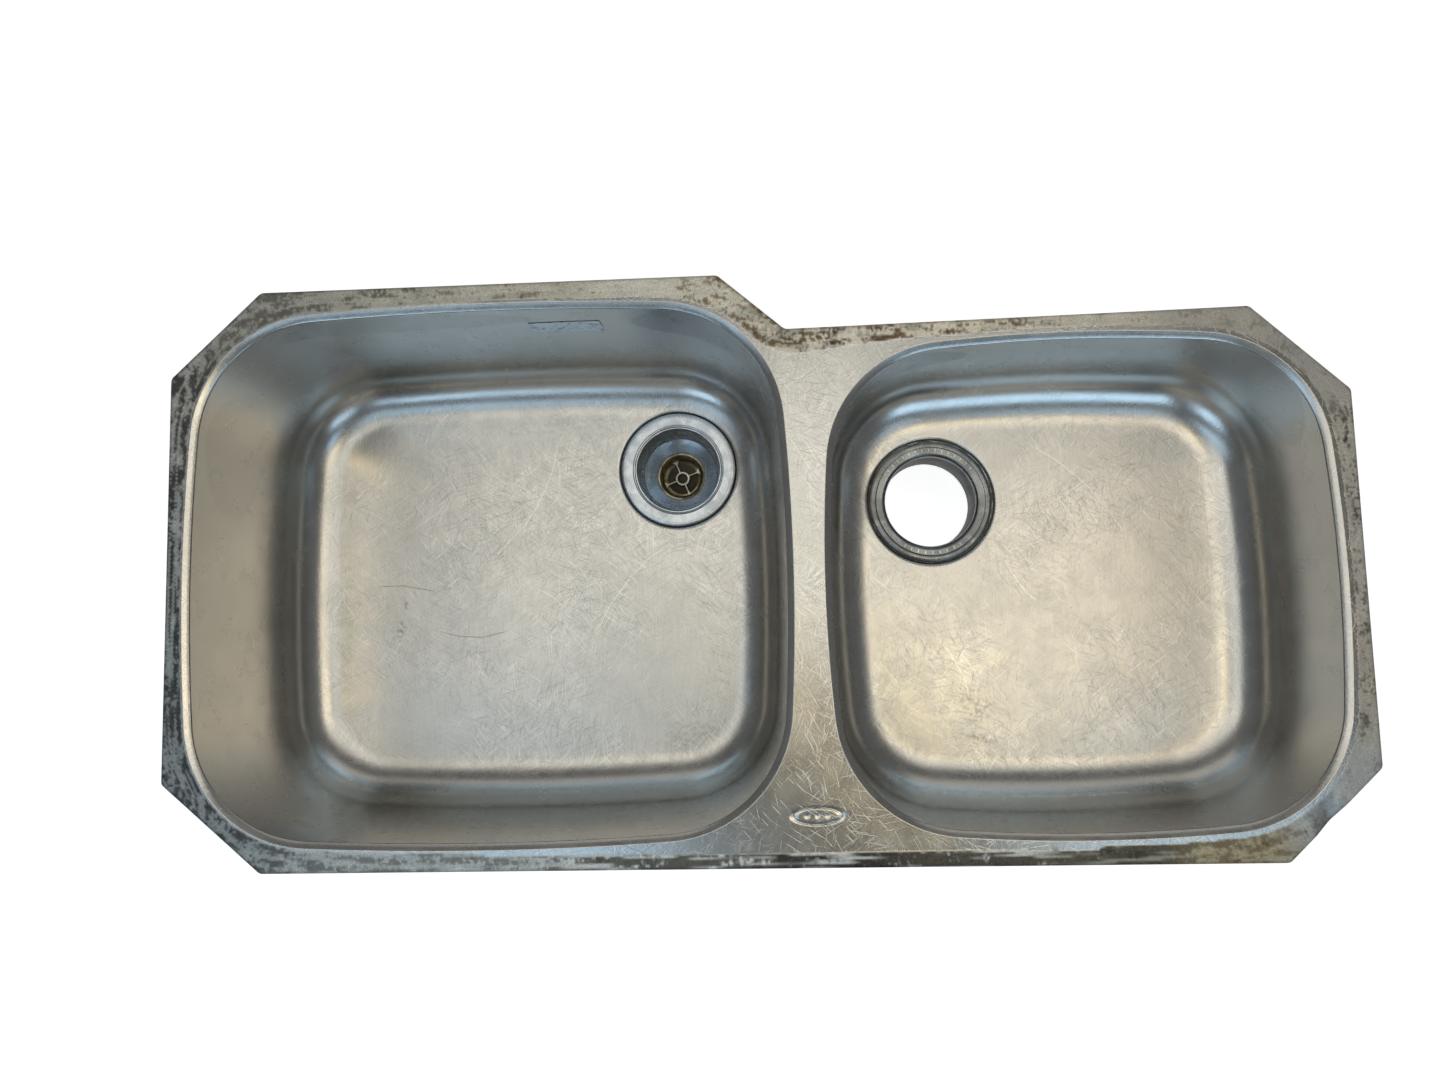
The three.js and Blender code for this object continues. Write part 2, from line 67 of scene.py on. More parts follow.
MM = 0.001
SHEET = 1.2 * MM
DECK_LEFT, DECK_RIGHT = -526 * MM, 435 * MM
DECK_FRONT_LEFT, DECK_FRONT_RIGHT = -235 * MM, -241.5 * MM
BACK_LARGE = 240 * MM
BACK_SMALL_STEP, BACK_SMALL_END = 192.5 * MM, 197.5 * MM
CUT_X, CUT_Y, CUT_X_FRONT_LEFT = 75 * MM, 71 * MM, 82 * MM
STEP_START, STEP_END = -68 * MM, -13.5 * MM

LARGE = dict(x=-262.5 * MM, y=1.6 * MM, half_x=250.7 * MM, half_y=222.6 * MM,
             corner=106 * MM, bulge=4 * MM, depth=203 * MM)
SMALL = dict(x=216.6 * MM, y=-20 * MM, half_x=204.8 * MM, half_y=202.1 * MM,
             corner=102 * MM, bulge=4 * MM, depth=135 * MM)
RIM_WIDTH = 5.8 * MM
RIM_DROP = 3 * MM
WELD_LAND = 0.6 * MM
DRAFT = 0.034
FLOOR_FILLET = 42 * MM

DRAIN_HOLE = 44.6
RECESS_RADIUS = 58.4
RECESS_DEPTH = 2.6
STRAINER_CENTRE = (-119.5 * MM, 113.2 * MM, -203 * MM)
DISPOSER_CENTRE = (119.5 * MM, 64.5 * MM, -135 * MM)
SCREW_CIRCLE = 55.5
SCREW_ANGLES = (90, 210, 330)

# ---------------------------------------------------------------- small helpers


def smooth(low, high, value):
    """0 below low, 1 above high, with a smooth step between them."""
    share = min(1.0, max(0.0, (value - low) / (high - low)))
    return share * share * (3 - 2 * share)


def lerp(a, b, share):
    return a + (b - a) * share


def wander(x, y, scale, seed):
    """Smooth noise from -1 to 1 over the deck or a floor; scale is the size of its patches."""
    return noise.noise(Vector((x / scale, y / scale, seed)))


def piece(name, points, faces, look, body="sink", replaces=(), slot=None, crease=32, fix_normals=True):
    """A mesh object that rides on a body and stands for CAD nodes."""
    mesh = bpy.data.meshes.new(name)
    mesh.from_pydata([tuple(point) for point in points], [], faces)
    if fix_normals:
        work = bmesh.new()
        work.from_mesh(mesh)
        bmesh.ops.recalc_face_normals(work, faces=work.faces)
        work.to_mesh(mesh)
        work.free()
    mesh.shade_smooth()
    mesh.set_sharp_from_angle(angle=math.radians(crease))
    mesh.materials.append(look)
    made = bpy.data.objects.new(name, mesh)
    bpy.context.scene.collection.objects.link(made)
    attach(made, body)
    if replaces:
        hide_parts(*replaces)
    return made


class Solid:
    """Collects several closed shells, in millimetres about a centre, into one mesh."""

    def __init__(self, centre):
        self.centre = Vector(centre)
        self.points = []
        self.faces = []

    def add(self, points, faces):
        base = len(self.points)
        self.points += [self.centre + Vector(point) * MM for point in points]
        self.faces += [tuple(base + index for index in face) for face in faces]

    def sweep(self, sections, closed):
        """Joins sections, each a closed loop of the same number of points."""
        count = len(sections[0])
        points = [point for section in sections for point in section]
        faces = []
        for start in range(len(sections) if closed else len(sections) - 1):
            after = (start + 1) % len(sections)
            for index in range(count):
                following = (index + 1) % count
                faces.append((start * count + index, start * count + following,
                              after * count + following, after * count + index))
        if not closed:
            last = (len(sections) - 1) * count
            faces.append(tuple(reversed(range(count))))
            faces.append(tuple(last + index for index in range(count)))
        self.add(points, faces)

    def turn(self, profile, segments=128, start=0.0, end=360.0, wobble=None):
        """Turns a closed profile of (radius, height) about the vertical line through the centre."""
        full = abs(end - start) >= 360
        steps = segments if full else segments + 1
        sections = []
        for step in range(steps):
            angle = math.radians(start + (end - start) * step / segments)
            section = []
            for radius, height in profile:
                if wobble:
                    radius, height = wobble(radius, height, angle)
                section.append((radius * math.cos(angle), radius * math.sin(angle), height))
            sections.append(section)
        self.sweep(sections, full)

    def helix(self, root, crest, pitch, top, bottom, steps_per_turn=48):
        """A thread ridge that winds down from top to bottom and fades out at both ends."""
        turns = (top - bottom) / pitch
        count = int(turns * steps_per_turn)
        base, flat = 0.42 * pitch, 0.08 * pitch
        sections = []
        for step in range(count + 1):
            along = step / steps_per_turn
            angle = math.tau * along
            fade = smooth(0, 0.5, min(along, turns - along))
            peak = lerp(root, crest, fade)
            inner = root - math.copysign(0.15, crest - root)
            middle = top - pitch * along
            corners = ((inner, middle + base), (peak, middle + flat),
                       (peak, middle - flat), (inner, middle - base))
            sections.append([(r * math.cos(angle), r * math.sin(angle), z) for r, z in corners])
        self.sweep(sections, False)

    def prism(self, outline, top, bottom, edge=0.3):
        """A plate with the given outline and softened edges."""
        shrunk = [inward(outline, index, edge) for index in range(len(outline))]
        levels = ((shrunk, bottom), (outline, bottom + edge), (outline, top - edge), (shrunk, top))
        self.sweep([[(x, y, z) for x, y in loop] for loop, z in levels], False)

    def finish(self, name, look, **options):
        return piece(name, self.points, self.faces, look, **options)


def inward(outline, index, distance):
    """A corner of an anticlockwise outline, moved inward along its bisector."""
    before = Vector(outline[index - 1])
    here = Vector(outline[index])
    after = Vector(outline[(index + 1) % len(outline)])
    ahead = (after - before).normalized()
    return here.x - ahead.y * distance, here.y + ahead.x * distance


def rounded(profile, radius, steps=3):
    """A closed profile whose corners are rounded, as much as their edges allow."""
    result = []
    for index, corner in enumerate(profile):
        here = Vector(corner)
        before = Vector(profile[index - 1]) - here
        after = Vector(profile[(index + 1) % len(profile)]) - here
        reach = min(radius, before.length * 0.45, after.length * 0.45)
        start = here + before.normalized() * reach
        end = here + after.normalized() * reach
        for step in range(steps + 1):
            share = step / steps
            result.append(tuple(start.lerp(here, share).lerp(here.lerp(end, share), share)))
    return result


def circle(radius, count, start=0.0):
    angles = (start + math.tau * step / count for step in range(count))
    return [(radius * math.cos(angle), radius * math.sin(angle)) for angle in angles]


def rounded_box(left, right, front, back, corner, steps=6):
    """The outline of a rectangle with round corners, anticlockwise."""
    centres = ((right - corner, back - corner, 0), (left + corner, back - corner, 90),
               (left + corner, front + corner, 180), (right - corner, front + corner, 270))
    outline = []
    for x, y, first in centres:
        for step in range(steps + 1):
            angle = math.radians(first + 90 * step / steps)
            outline.append((x + corner * math.cos(angle), y + corner * math.sin(angle)))
    return outline


# ---------------------------------------------------------------- node helpers


def new_material(name, metallic=0.0, roughness=0.5):
    made = bpy.data.materials.new(name)
    made.use_nodes = True
    shader = made.node_tree.nodes["Principled BSDF"]
    shader.inputs["Metallic"].default_value = metallic
    shader.inputs["Roughness"].default_value = roughness
    return made, made.node_tree, shader


def node(tree, kind, settings=None, **inputs):
    """A shader node; inputs are given by socket name, with _ for a space."""
    made = tree.nodes.new(kind)
    for key, value in (settings or {}).items():
        setattr(made, key, value)
    for key, value in inputs.items():
        plug(tree, value, made.inputs[key.replace("_", " ")])
    return made


def plug(tree, value, socket):
    if isinstance(value, bpy.types.NodeSocket):
        tree.links.new(value, socket)
    else:
        socket.default_value = value


def place(tree, turn=0.0, scale=(1, 1, 1), source=None):
    """The object's own coordinates, turned about Z and scaled."""
    source = source or node(tree, "ShaderNodeTexCoord").outputs["Object"]
    turned = node(tree, "ShaderNodeMapping", Vector=source, Rotation=(0, 0, math.radians(turn)))
    return node(tree, "ShaderNodeMapping", Vector=turned.outputs[0], Scale=scale).outputs[0]


def cloud(tree, scale, detail=2.0, vector=None, distortion=0.0):
    vector = vector or node(tree, "ShaderNodeTexCoord").outputs["Object"]
    return node(tree, "ShaderNodeTexNoise", Vector=vector, Scale=scale, Detail=detail,
                Distortion=distortion).outputs["Fac"]


def remap(tree, value, low, high, new_low=0.0, new_high=1.0):
    made = node(tree, "ShaderNodeMapRange", {"interpolation_type": "SMOOTHSTEP"}, Value=value,
                From_Min=low, From_Max=high, To_Min=new_low, To_Max=new_high)
    return made.outputs["Result"]


def calc(tree, operation, first, second=0.5):
    made = node(tree, "ShaderNodeMath", {"operation": operation})
    plug(tree, first, made.inputs[0])
    plug(tree, second, made.inputs[1])
    return made.outputs[0]


def times(tree, first, second):
    return calc(tree, "MULTIPLY", first, second)


def plus(tree, first, second):
    return calc(tree, "ADD", first, second)


def blend(tree, factor, first, second, mode="MIX"):
    made = node(tree, "ShaderNodeMix", {"data_type": "RGBA", "blend_type": mode})
    plug(tree, factor, made.inputs["Factor"])
    plug(tree, first if isinstance(first, bpy.types.NodeSocket) else (*first, 1), made.inputs[6])
    plug(tree, second if isinstance(second, bpy.types.NodeSocket) else (*second, 1), made.inputs[7])
    return made.outputs[2]


def bump(tree, shader, height, strength, distance):
    made = node(tree, "ShaderNodeBump", Strength=strength, Distance=distance, Height=height)
    tree.links.new(made.outputs["Normal"], shader.inputs["Normal"])


# ---------------------------------------------------------------- materials

STEEL_PALE = (0.69, 0.665, 0.615)
STEEL_DULL = (0.59, 0.575, 0.535)
SCRATCH_TURNS = (12, 31, 47, 63, 78, 99, 118, 133, 149, 171)
SCRATCH_CELL = (2.6, 95)
SCRATCH_WIDTH = 0.115

# Stains that hard water left high on the walls: centre and half size (mm), strength.
WALL_STAINS = (
    (-75, 205, -30, 70, 60, 34, 0.34),
    (-330, 215, -22, 120, 50, 18, 0.18),
    (90, 150, -26, 62, 50, 24, 0.34),
    (380, 140, -40, 60, 60, 40, 0.22),
    (-500, 120, -60, 40, 60, 50, 0.12),
)
# Dark rubbed marks on the floors: centre and half size (mm), turn (degrees), strength.
FLOOR_SCUFFS = (
    (-396, -38, 7, 13, 10, 0.55),
    (-391, -10, 4, 7, 0, 0.45),
    (-318, -62, 34, 8, -12, 0.16),
    (-105, -150, 52, 24, 12, 0.20),
    (-240, 165, 110, 12, 2, 0.16),
    (155, -120, 24, 26, 30, 0.34),
    (160, -150, 18, 7, -15, 0.45),
    (305, 95, 26, 5, -4, 0.30),
    (230, 10, 70, 60, 0, 0.10),
)
# Long single scratches: ends (mm), bend sideways (mm), dark or pale.
LONG_SCRATCHES = (
    (-362, -40, -288, -41, -7, 0.02),
    (-425, 5, -362, -2, 3, 0.02),
    (-238, 147, -310, 28, 14, 1.0),
    (-150, 150, -215, 60, 10, 1.0),
    (-130, 40, -205, -52, -9, 1.0),
    (-262, -2, -236, -22, 3, 1.0),
    (188, 6, 215, -30, -4, 1.0),
    (205, 120, 300, 20, 12, 1.0),
    (120, -60, 148, -118, 5, 1.0),
)


def streaks(tree, source, turns, cell, width, seed_shift):
    """Short fine streaks in many directions, 0 to 1, each with its own strength."""
    across, along = cell
    total = None
    for number, turn in enumerate(turns):
        stretch = 1 + 0.35 * math.sin(number * 2.4 + seed_shift)
        cells = place(tree, turn, (1 / (along * stretch * MM), 1 / (across * MM), 0), source)
        marks = node(tree, "ShaderNodeTexVoronoi", {"voronoi_dimensions": "2D"}, Vector=cells, Scale=1.0)
        strength = node(tree, "ShaderNodeSeparateColor", Color=marks.outputs["Color"]).outputs[0]
        line = remap(tree, marks.outputs["Distance"], width, width * 0.25)
        line = times(tree, line, remap(tree, strength, 0.15, 1.0))
        total = line if total is None else calc(tree, "MAXIMUM", total, line)
    return total


def warped_place(tree, scale, amount, shift=(0, 0, 0)):
    """The object's coordinates, bent a little so that long marks aren't quite straight."""
    source = node(tree, "ShaderNodeTexCoord").outputs["Object"]
    bend = node(tree, "ShaderNodeTexNoise", Vector=source, Scale=scale, Detail=0.0)
    offset = node(tree, "ShaderNodeVectorMath", {"operation": "SCALE"}, Scale=amount)
    tree.links.new(bend.outputs["Color"], offset.inputs[0])
    moved = node(tree, "ShaderNodeVectorMath", {"operation": "ADD"})
    tree.links.new(source, moved.inputs[0])
    tree.links.new(offset.outputs[0], moved.inputs[1])
    return node(tree, "ShaderNodeMapping", Vector=moved.outputs[0], Location=shift).outputs[0]


def scratches(tree, turns=SCRATCH_TURNS, cell=SCRATCH_CELL, width=SCRATCH_WIDTH, shift=(0, 0, 0)):
    return streaks(tree, warped_place(tree, 9.0, 0.012, shift), turns, cell, width, shift[0])


def patch(tree, source, centre, half, turn=0.0, soft=0.55):
    """1 inside an oval patch in space and 0 outside it."""
    moved = node(tree, "ShaderNodeMapping", Vector=source, Location=[-value * MM for value in centre])
    turned = node(tree, "ShaderNodeMapping", Vector=moved.outputs[0], Rotation=(0, 0, math.radians(-turn)))
    shrink = [1 / (value * MM) for value in half]
    scaled = node(tree, "ShaderNodeMapping", Vector=turned.outputs[0], Scale=shrink)
    reach = node(tree, "ShaderNodeVectorMath", {"operation": "LENGTH"})
    tree.links.new(scaled.outputs[0], reach.inputs[0])
    return remap(tree, reach.outputs["Value"], 1.0, 1.0 - soft)


def long_scratch(tree, source, ends, bend):
    """A single long scratch: a thin line from one end to the other that bows sideways."""
    x1, y1, x2, y2 = ends
    length = math.hypot(x2 - x1, y2 - y1)
    turn = math.atan2(y2 - y1, x2 - x1)
    moved = node(tree, "ShaderNodeMapping", Vector=source, Location=(-x1 * MM, -y1 * MM, 0))
    turned = node(tree, "ShaderNodeMapping", Vector=moved.outputs[0], Rotation=(0, 0, -turn))
    spot = node(tree, "ShaderNodeSeparateXYZ", Vector=turned.outputs[0])
    share = calc(tree, "DIVIDE", spot.outputs["X"], length * MM)
    bow = times(tree, times(tree, share, calc(tree, "SUBTRACT", 1.0, share)), 4 * bend * MM)
    off = calc(tree, "ABSOLUTE", calc(tree, "SUBTRACT", spot.outputs["Y"], bow))
    line = remap(tree, off, 0.55 * MM, 0.12 * MM)
    line = times(tree, line, remap(tree, share, 0.0, 0.15))
    return times(tree, line, remap(tree, share, 1.0, 0.85))


def hairlines(tree, turns=(34, 58, 121, 147, 88)):
    """A field of very fine hairlines whose direction changes from place to place, 0 to 1."""
    total = None
    source = warped_place(tree, 6.0, 0.02)
    for number, turn in enumerate(turns):
        lines = cloud(tree, 100.0, 2.0, place(tree, turn, (0.32, 14.0, 1.0), source))
        where = remap(tree, cloud(tree, 16.0 + 3 * number, 1.0), 0.42, 0.60)
        line = times(tree, remap(tree, lines, 0.56, 0.70), where)
        total = line if total is None else calc(tree, "MAXIMUM", total, line)
    return total


def wear_marks(tree, color, level):
    """Rubbed dark marks, single long scratches and water stains at their own places."""
    source = warped_place(tree, 38.0, 0.008)
    rubbed = times(tree, remap(tree, cloud(tree, 260.0, 3.0), 0.42, 0.62), level)
    for x, y, half_x, half_y, turn, strength in FLOOR_SCUFFS:
        mark = patch(tree, source, (x, y, -170), (half_x, half_y, 90), turn)
        mark = times(tree, times(tree, mark, rubbed), strength)
        color = blend(tree, mark, color, (0.10, 0.09, 0.075))
    for x, y, z, half_x, half_y, half_z, strength in WALL_STAINS:
        mark = patch(tree, source, (x, y, z), (half_x, half_y, half_z), soft=0.05)
        color = blend(tree, times(tree, mark, strength), color, (0.30, 0.30, 0.31))
    fine = warped_place(tree, 60.0, 0.002)
    for x1, y1, x2, y2, bend, tone in LONG_SCRATCHES:
        line = times(tree, long_scratch(tree, fine, (x1, y1, x2, y2), bend), level)
        color = blend(tree, times(tree, line, 0.6), color, (tone, tone, 0.95 * tone))
    return color


def residue_cover(tree, color, rough, relief):
    """Lays the deck's old sealant, whose colour and cover are in the mesh, over the steel."""
    residue = node(tree, "ShaderNodeAttribute", {"attribute_name": "residue"})
    crumbs = cloud(tree, 900.0, 4.0, distortion=0.5)
    grit = cloud(tree, 2600.0, 2.0)
    cover = residue.outputs["Alpha"]
    cover = times(tree, cover, remap(tree, crumbs, 0.22, 0.42, 0.6, 1.0))
    shade = remap(tree, crumbs, 0.3, 0.7, 0.78, 1.30)
    tint = node(tree, "ShaderNodeCombineColor", Red=shade, Green=shade, Blue=shade).outputs[0]
    coat_tone = blend(tree, 1.0, residue.outputs["Color"], tint, "MULTIPLY")
    coat_tone = blend(tree, times(tree, remap(tree, grit, 0.62, 0.7), 0.35), coat_tone, (0.06, 0.05, 0.04))
    coat_tone = blend(tree, times(tree, remap(tree, grit, 0.40, 0.32), 0.35), coat_tone, (0.95, 0.93, 0.88))
    bare = calc(tree, "SUBTRACT", 1.0, cover)
    rough = plus(tree, times(tree, rough, bare), times(tree, cover, 0.45))
    lumps = times(tree, times(tree, crumbs, cover), 2.0)
    metal = calc(tree, "SUBTRACT", 1.0, times(tree, cover, 0.3))
    return blend(tree, cover, color, coat_tone), rough, plus(tree, relief, lumps), metal


def sink_steel(name, with_residue=False):
    """Satin stainless sheet: draw lines on the walls, fine scratches on level faces, stains and scuffs,
    painted light that makes the walls paler than the floors, and painted shade along the crease under the rim
    band.
    """
    made, tree, shader = new_material(name, metallic=1.0, roughness=0.34)
    facing = node(tree, "ShaderNodeNewGeometry").outputs["Normal"]
    upward = node(tree, "ShaderNodeSeparateXYZ", Vector=facing).outputs["Z"]
    level = remap(tree, upward, 0.80, 0.99)

    broad = cloud(tree, 7.0, 3.0, distortion=0.4)
    mottle = cloud(tree, 48.0, 5.0)
    grain = cloud(tree, 520.0, 3.0)
    rolled = cloud(tree, 90.0, 4.0, place(tree, 0, (14.0, 0.35, 1.0)))
    upright_lines = cloud(tree, 60.0, 3.0, place(tree, 0, (5.0, 5.0, 0.25)))

    color = blend(tree, remap(tree, broad, 0.35, 0.68), STEEL_DULL, STEEL_PALE)
    color = blend(tree, 0.20, color, blend(tree, mottle, (0.44, 0.42, 0.38), (0.84, 0.82, 0.77)))
    color = blend(tree, times(tree, remap(tree, grain, 0.3, 0.75), 0.20), color, (0.84, 0.82, 0.78))
    brushed = times(tree, remap(tree, rolled, 0.30, 0.70), level)
    color = blend(tree, times(tree, brushed, 0.22), color, (0.42, 0.41, 0.38))
    # Painted light: the upright faces get a base colour 35% nearer pale steel than the level faces.
    color = blend(tree, level, blend(tree, 0.35, color, (0.78, 0.76, 0.73)), color)

    busy = remap(tree, cloud(tree, 9.0, 2.0), 0.30, 0.60, 0.35, 1.0)
    worn = times(tree, busy, level)
    pale = times(tree, scratches(tree), worn)
    dark = times(tree, scratches(tree, (22, 70, 105, 160), (3.6, 80), 0.12, (0.37, 0.11, 0)), worn)
    deep = times(tree, scratches(tree, (36, 54, 128, 143), (9, 170), 0.07, (0.13, 0.29, 0)), worn)
    fine = times(tree, hairlines(tree), worn)
    faint = times(tree, hairlines(tree, (22, 47, 103, 136, 164)), worn)
    pits = times(tree, remap(tree, cloud(tree, 330.0, 2.0), 0.71, 0.76), level)
    for mark, strength, tone in ((fine, 0.55, (1.0, 0.99, 0.95)), (faint, 0.38, (0.20, 0.19, 0.17)),
                                 (dark, 0.45, (0.16, 0.15, 0.13)), (pale, 0.40, (1.0, 0.99, 0.97)),
                                 (deep, 0.60, (1.0, 1.0, 0.98)), (pits, 0.50, (0.22, 0.20, 0.17))):
        color = blend(tree, times(tree, mark, strength), color, tone)
    color = wear_marks(tree, color, level)
    # Painted shade: a patchy dark line along the crease at the foot of the rim band.
    height = node(tree, "ShaderNodeSeparateXYZ", Vector=node(tree, "ShaderNodeTexCoord").outputs["Object"])
    off_crease = calc(tree, "ABSOLUTE", plus(tree, height.outputs["Z"], RIM_DROP + 0.4 * MM))
    crease_shade = times(tree, remap(tree, off_crease, 0.75 * MM, 0.2 * MM), remap(tree, mottle, 0.3, 0.6))
    color = blend(tree, times(tree, crease_shade, 0.6), color, (0.12, 0.12, 0.13))

    low, high = (0.15, 0.19) if with_residue else (0.23, 0.28)
    rough = plus(tree, remap(tree, mottle, 0.3, 0.7, low, high), times(tree, level, 0.05))
    rough = plus(tree, rough, times(tree, pale, 0.12))
    relief = plus(tree, times(tree, grain, 0.45), times(tree, pale, -0.6))
    walls = calc(tree, "SUBTRACT", 1.0, level)
    relief = plus(tree, relief, times(tree, upright_lines, walls))
    metal = 1.0
    if with_residue:
        color, rough, relief, metal = residue_cover(tree, color, rough, relief)
    plug(tree, metal, shader.inputs["Metallic"])
    tree.links.new(color, shader.inputs["Base Color"])
    tree.links.new(rough, shader.inputs["Roughness"])
    bump(tree, shader, relief, 0.22, 0.35 * MM)
    return made


def turned_steel(name, centre, pale, dull, roughness, lines, recess_shade):
    """Steel turned or buffed round a centre: fine rings, scuffs, painted shade as dark lines at some radii
    where the grooves and rolled edges are, and painted shade deep inside.

    Each line is a radius, a half width (mm) and a strength; the painted shade inside is given as a depth (mm)
    and a strength.
    """
    made, tree, shader = new_material(name, metallic=1.0, roughness=roughness)
    source = node(tree, "ShaderNodeTexCoord").outputs["Object"]
    from_centre = node(tree, "ShaderNodeVectorMath", {"operation": "SUBTRACT"}, Vector=source)
    from_centre.inputs[1].default_value = (centre[0], centre[1], 0)
    flat = node(tree, "ShaderNodeMapping", Vector=from_centre.outputs[0], Scale=(1, 1, 0))
    radius = node(tree, "ShaderNodeVectorMath", {"operation": "LENGTH"})
    tree.links.new(flat.outputs[0], radius.inputs[0])
    rings = node(tree, "ShaderNodeTexNoise", {"noise_dimensions": "1D"}, W=radius.outputs["Value"],
                 Scale=1400.0, Detail=2.0).outputs["Fac"]
    marks = cloud(tree, 70.0, 4.0, distortion=0.5)
    color = blend(tree, remap(tree, marks, 0.32, 0.66), dull, pale)
    color = blend(tree, times(tree, rings, 0.15), color, (0.82, 0.84, 0.86))
    scuffs = scratches(tree, (25, 70, 110, 150), (2.0, 30), 0.10)
    color = blend(tree, times(tree, scuffs, 0.5), color, (0.9, 0.91, 0.92))
    # Painted shade: dark rings at the given radii, where the ring's grooves and rolled edges are.
    for shade_radius, half_width, strength in lines:
        off = calc(tree, "ABSOLUTE", calc(tree, "SUBTRACT", radius.outputs["Value"], shade_radius * MM))
        line = remap(tree, off, half_width * MM, 0.3 * half_width * MM, 0.0, strength)
        color = blend(tree, line, color, (0.05, 0.05, 0.05))
    # Painted shade: from 1.2 mm below the centre down to the given depth, the steel turns near black,
    # non-metallic and rough, as shade inside the mouth.
    height = node(tree, "ShaderNodeSeparateXYZ", Vector=from_centre.outputs[0]).outputs["Z"]
    shade_depth, shade_strength = recess_shade
    deep = remap(tree, height, centre[2] - 1.2 * MM, centre[2] - shade_depth * MM, 0.0, shade_strength)
    color = blend(tree, deep, color, (0.03, 0.028, 0.025))
    tree.links.new(color, shader.inputs["Base Color"])
    plug(tree, calc(tree, "SUBTRACT", 1.0, deep), shader.inputs["Metallic"])
    rough = plus(tree, remap(tree, marks, 0.3, 0.7, roughness + 0.07, roughness - 0.05),
                 times(tree, scuffs, 0.15))
    rough = plus(tree, rough, times(tree, deep, 0.4))
    tree.links.new(rough, shader.inputs["Roughness"])
    bump(tree, shader, plus(tree, rings, times(tree, marks, 0.6)), 0.18, 0.15 * MM)
    return made


def dull_metal(name, pale, dull, stain, roughness=0.48, stain_share=0.62):
    """Plated or cast metal dulled by years under a sink, with stains and pits."""
    made, tree, shader = new_material(name, metallic=0.9, roughness=roughness)
    marks = cloud(tree, 60.0, 5.0, distortion=0.6)
    pits = cloud(tree, 600.0, 3.0)
    patches = remap(tree, cloud(tree, 38.0, 4.0, distortion=0.8), stain_share, stain_share + 0.12)
    color = blend(tree, remap(tree, marks, 0.35, 0.65), dull, pale)
    color = blend(tree, times(tree, patches, 0.7), color, stain)
    color = blend(tree, times(tree, remap(tree, pits, 0.66, 0.74), 0.5), color, (0.08, 0.07, 0.06))
    tree.links.new(color, shader.inputs["Base Color"])
    uneven = remap(tree, marks, 0.3, 0.7, roughness + 0.12, roughness - 0.08)
    tree.links.new(uneven, shader.inputs["Roughness"])
    bump(tree, shader, plus(tree, marks, pits), 0.3, 0.25 * MM)
    return made


def rubbery(name, color_a, color_b, roughness=0.78, scale=180.0, strength=0.35):
    """Rubber, putty, fibre or pad: two near tones, pores and a fine uneven surface."""
    made, tree, shader = new_material(name, roughness=roughness)
    tone = cloud(tree, scale * 0.3, 4.0, distortion=0.3)
    pores = cloud(tree, scale * 3.5, 3.0)
    color = blend(tree, remap(tree, tone, 0.3, 0.7), color_a, color_b)
    color = blend(tree, times(tree, remap(tree, pores, 0.62, 0.72), 0.4), color,
                  tuple(channel * 1.8 for channel in color_b))
    tree.links.new(color, shader.inputs["Base Color"])
    uneven = remap(tree, pores, 0.3, 0.7, roughness - 0.08, roughness + 0.1)
    tree.links.new(uneven, shader.inputs["Roughness"])
    bump(tree, shader, plus(tree, tone, pores), strength, 0.4 * MM)
    return made


def label_film():
    """A blank sticker, pale blue and worn, with smears where its print has gone."""
    made, tree, shader = new_material("worn_label_film", metallic=0.8, roughness=0.42)
    wear = remap(tree, cloud(tree, 240.0, 5.0, distortion=0.5), 0.56, 0.62)
    smear = remap(tree, cloud(tree, 90.0, 3.0, place(tree, 0, (0.6, 1, 2.5))), 0.52, 0.66)
    color = blend(tree, times(tree, smear, 0.35), (0.93, 0.97, 1.0), (0.60, 0.64, 0.72))
    color = blend(tree, times(tree, wear, 0.7), color, (0.52, 0.54, 0.56))
    tree.links.new(color, shader.inputs["Base Color"])
    tree.links.new(remap(tree, wear, 0, 1, 0.38, 0.6), shader.inputs["Roughness"])
    bump(tree, shader, wear, 0.25, 0.1 * MM)
    return made


def crust_look():
    """Old sealant and stone dust: the colour is in the mesh, crumbs and pores are here."""
    made, tree, shader = new_material("sealant_crust", roughness=0.85)
    residue = node(tree, "ShaderNodeAttribute", {"attribute_name": "residue"})
    crumbs = cloud(tree, 520.0, 5.0, distortion=0.4)
    color = blend(tree, 0.6, residue.outputs["Color"],
                  blend(tree, crumbs, (0.02, 0.015, 0.01), (0.98, 0.94, 0.86)), "OVERLAY")
    tree.links.new(color, shader.inputs["Base Color"])
    tree.links.new(remap(tree, crumbs, 0.3, 0.7, 0.75, 0.95), shader.inputs["Roughness"])
    bump(tree, shader, crumbs, 0.6, 0.6 * MM)
    return made


STEEL = sink_steel("satin_sink_steel")
DECK_STEEL = sink_steel("satin_deck_steel", with_residue=True)
# Painted shade: dark lines at the radii of the grooves, rolled edges and mouth lips, each a radius, a half
# width (mm) and a strength.
STRAINER_SHADE_LINES = ((57.3, 0.9, 0.85), (53.4, 0.35, 0.45), (44.9, 0.5, 0.8), (43.3, 0.5, 0.6), (37.3, 0.5, 0.4))
FLANGE_SHADE_LINES = ((56.4, 1.0, 0.9), (52.2, 0.35, 0.5), (50.3, 0.3, 0.4), (43.0, 0.7, 0.7))
STRAINER_STEEL = turned_steel("worn_strainer_steel_painted_shade", STRAINER_CENTRE, (0.60, 0.64, 0.68),
                              (0.50, 0.54, 0.58), 0.27, STRAINER_SHADE_LINES, (40, 0.0))
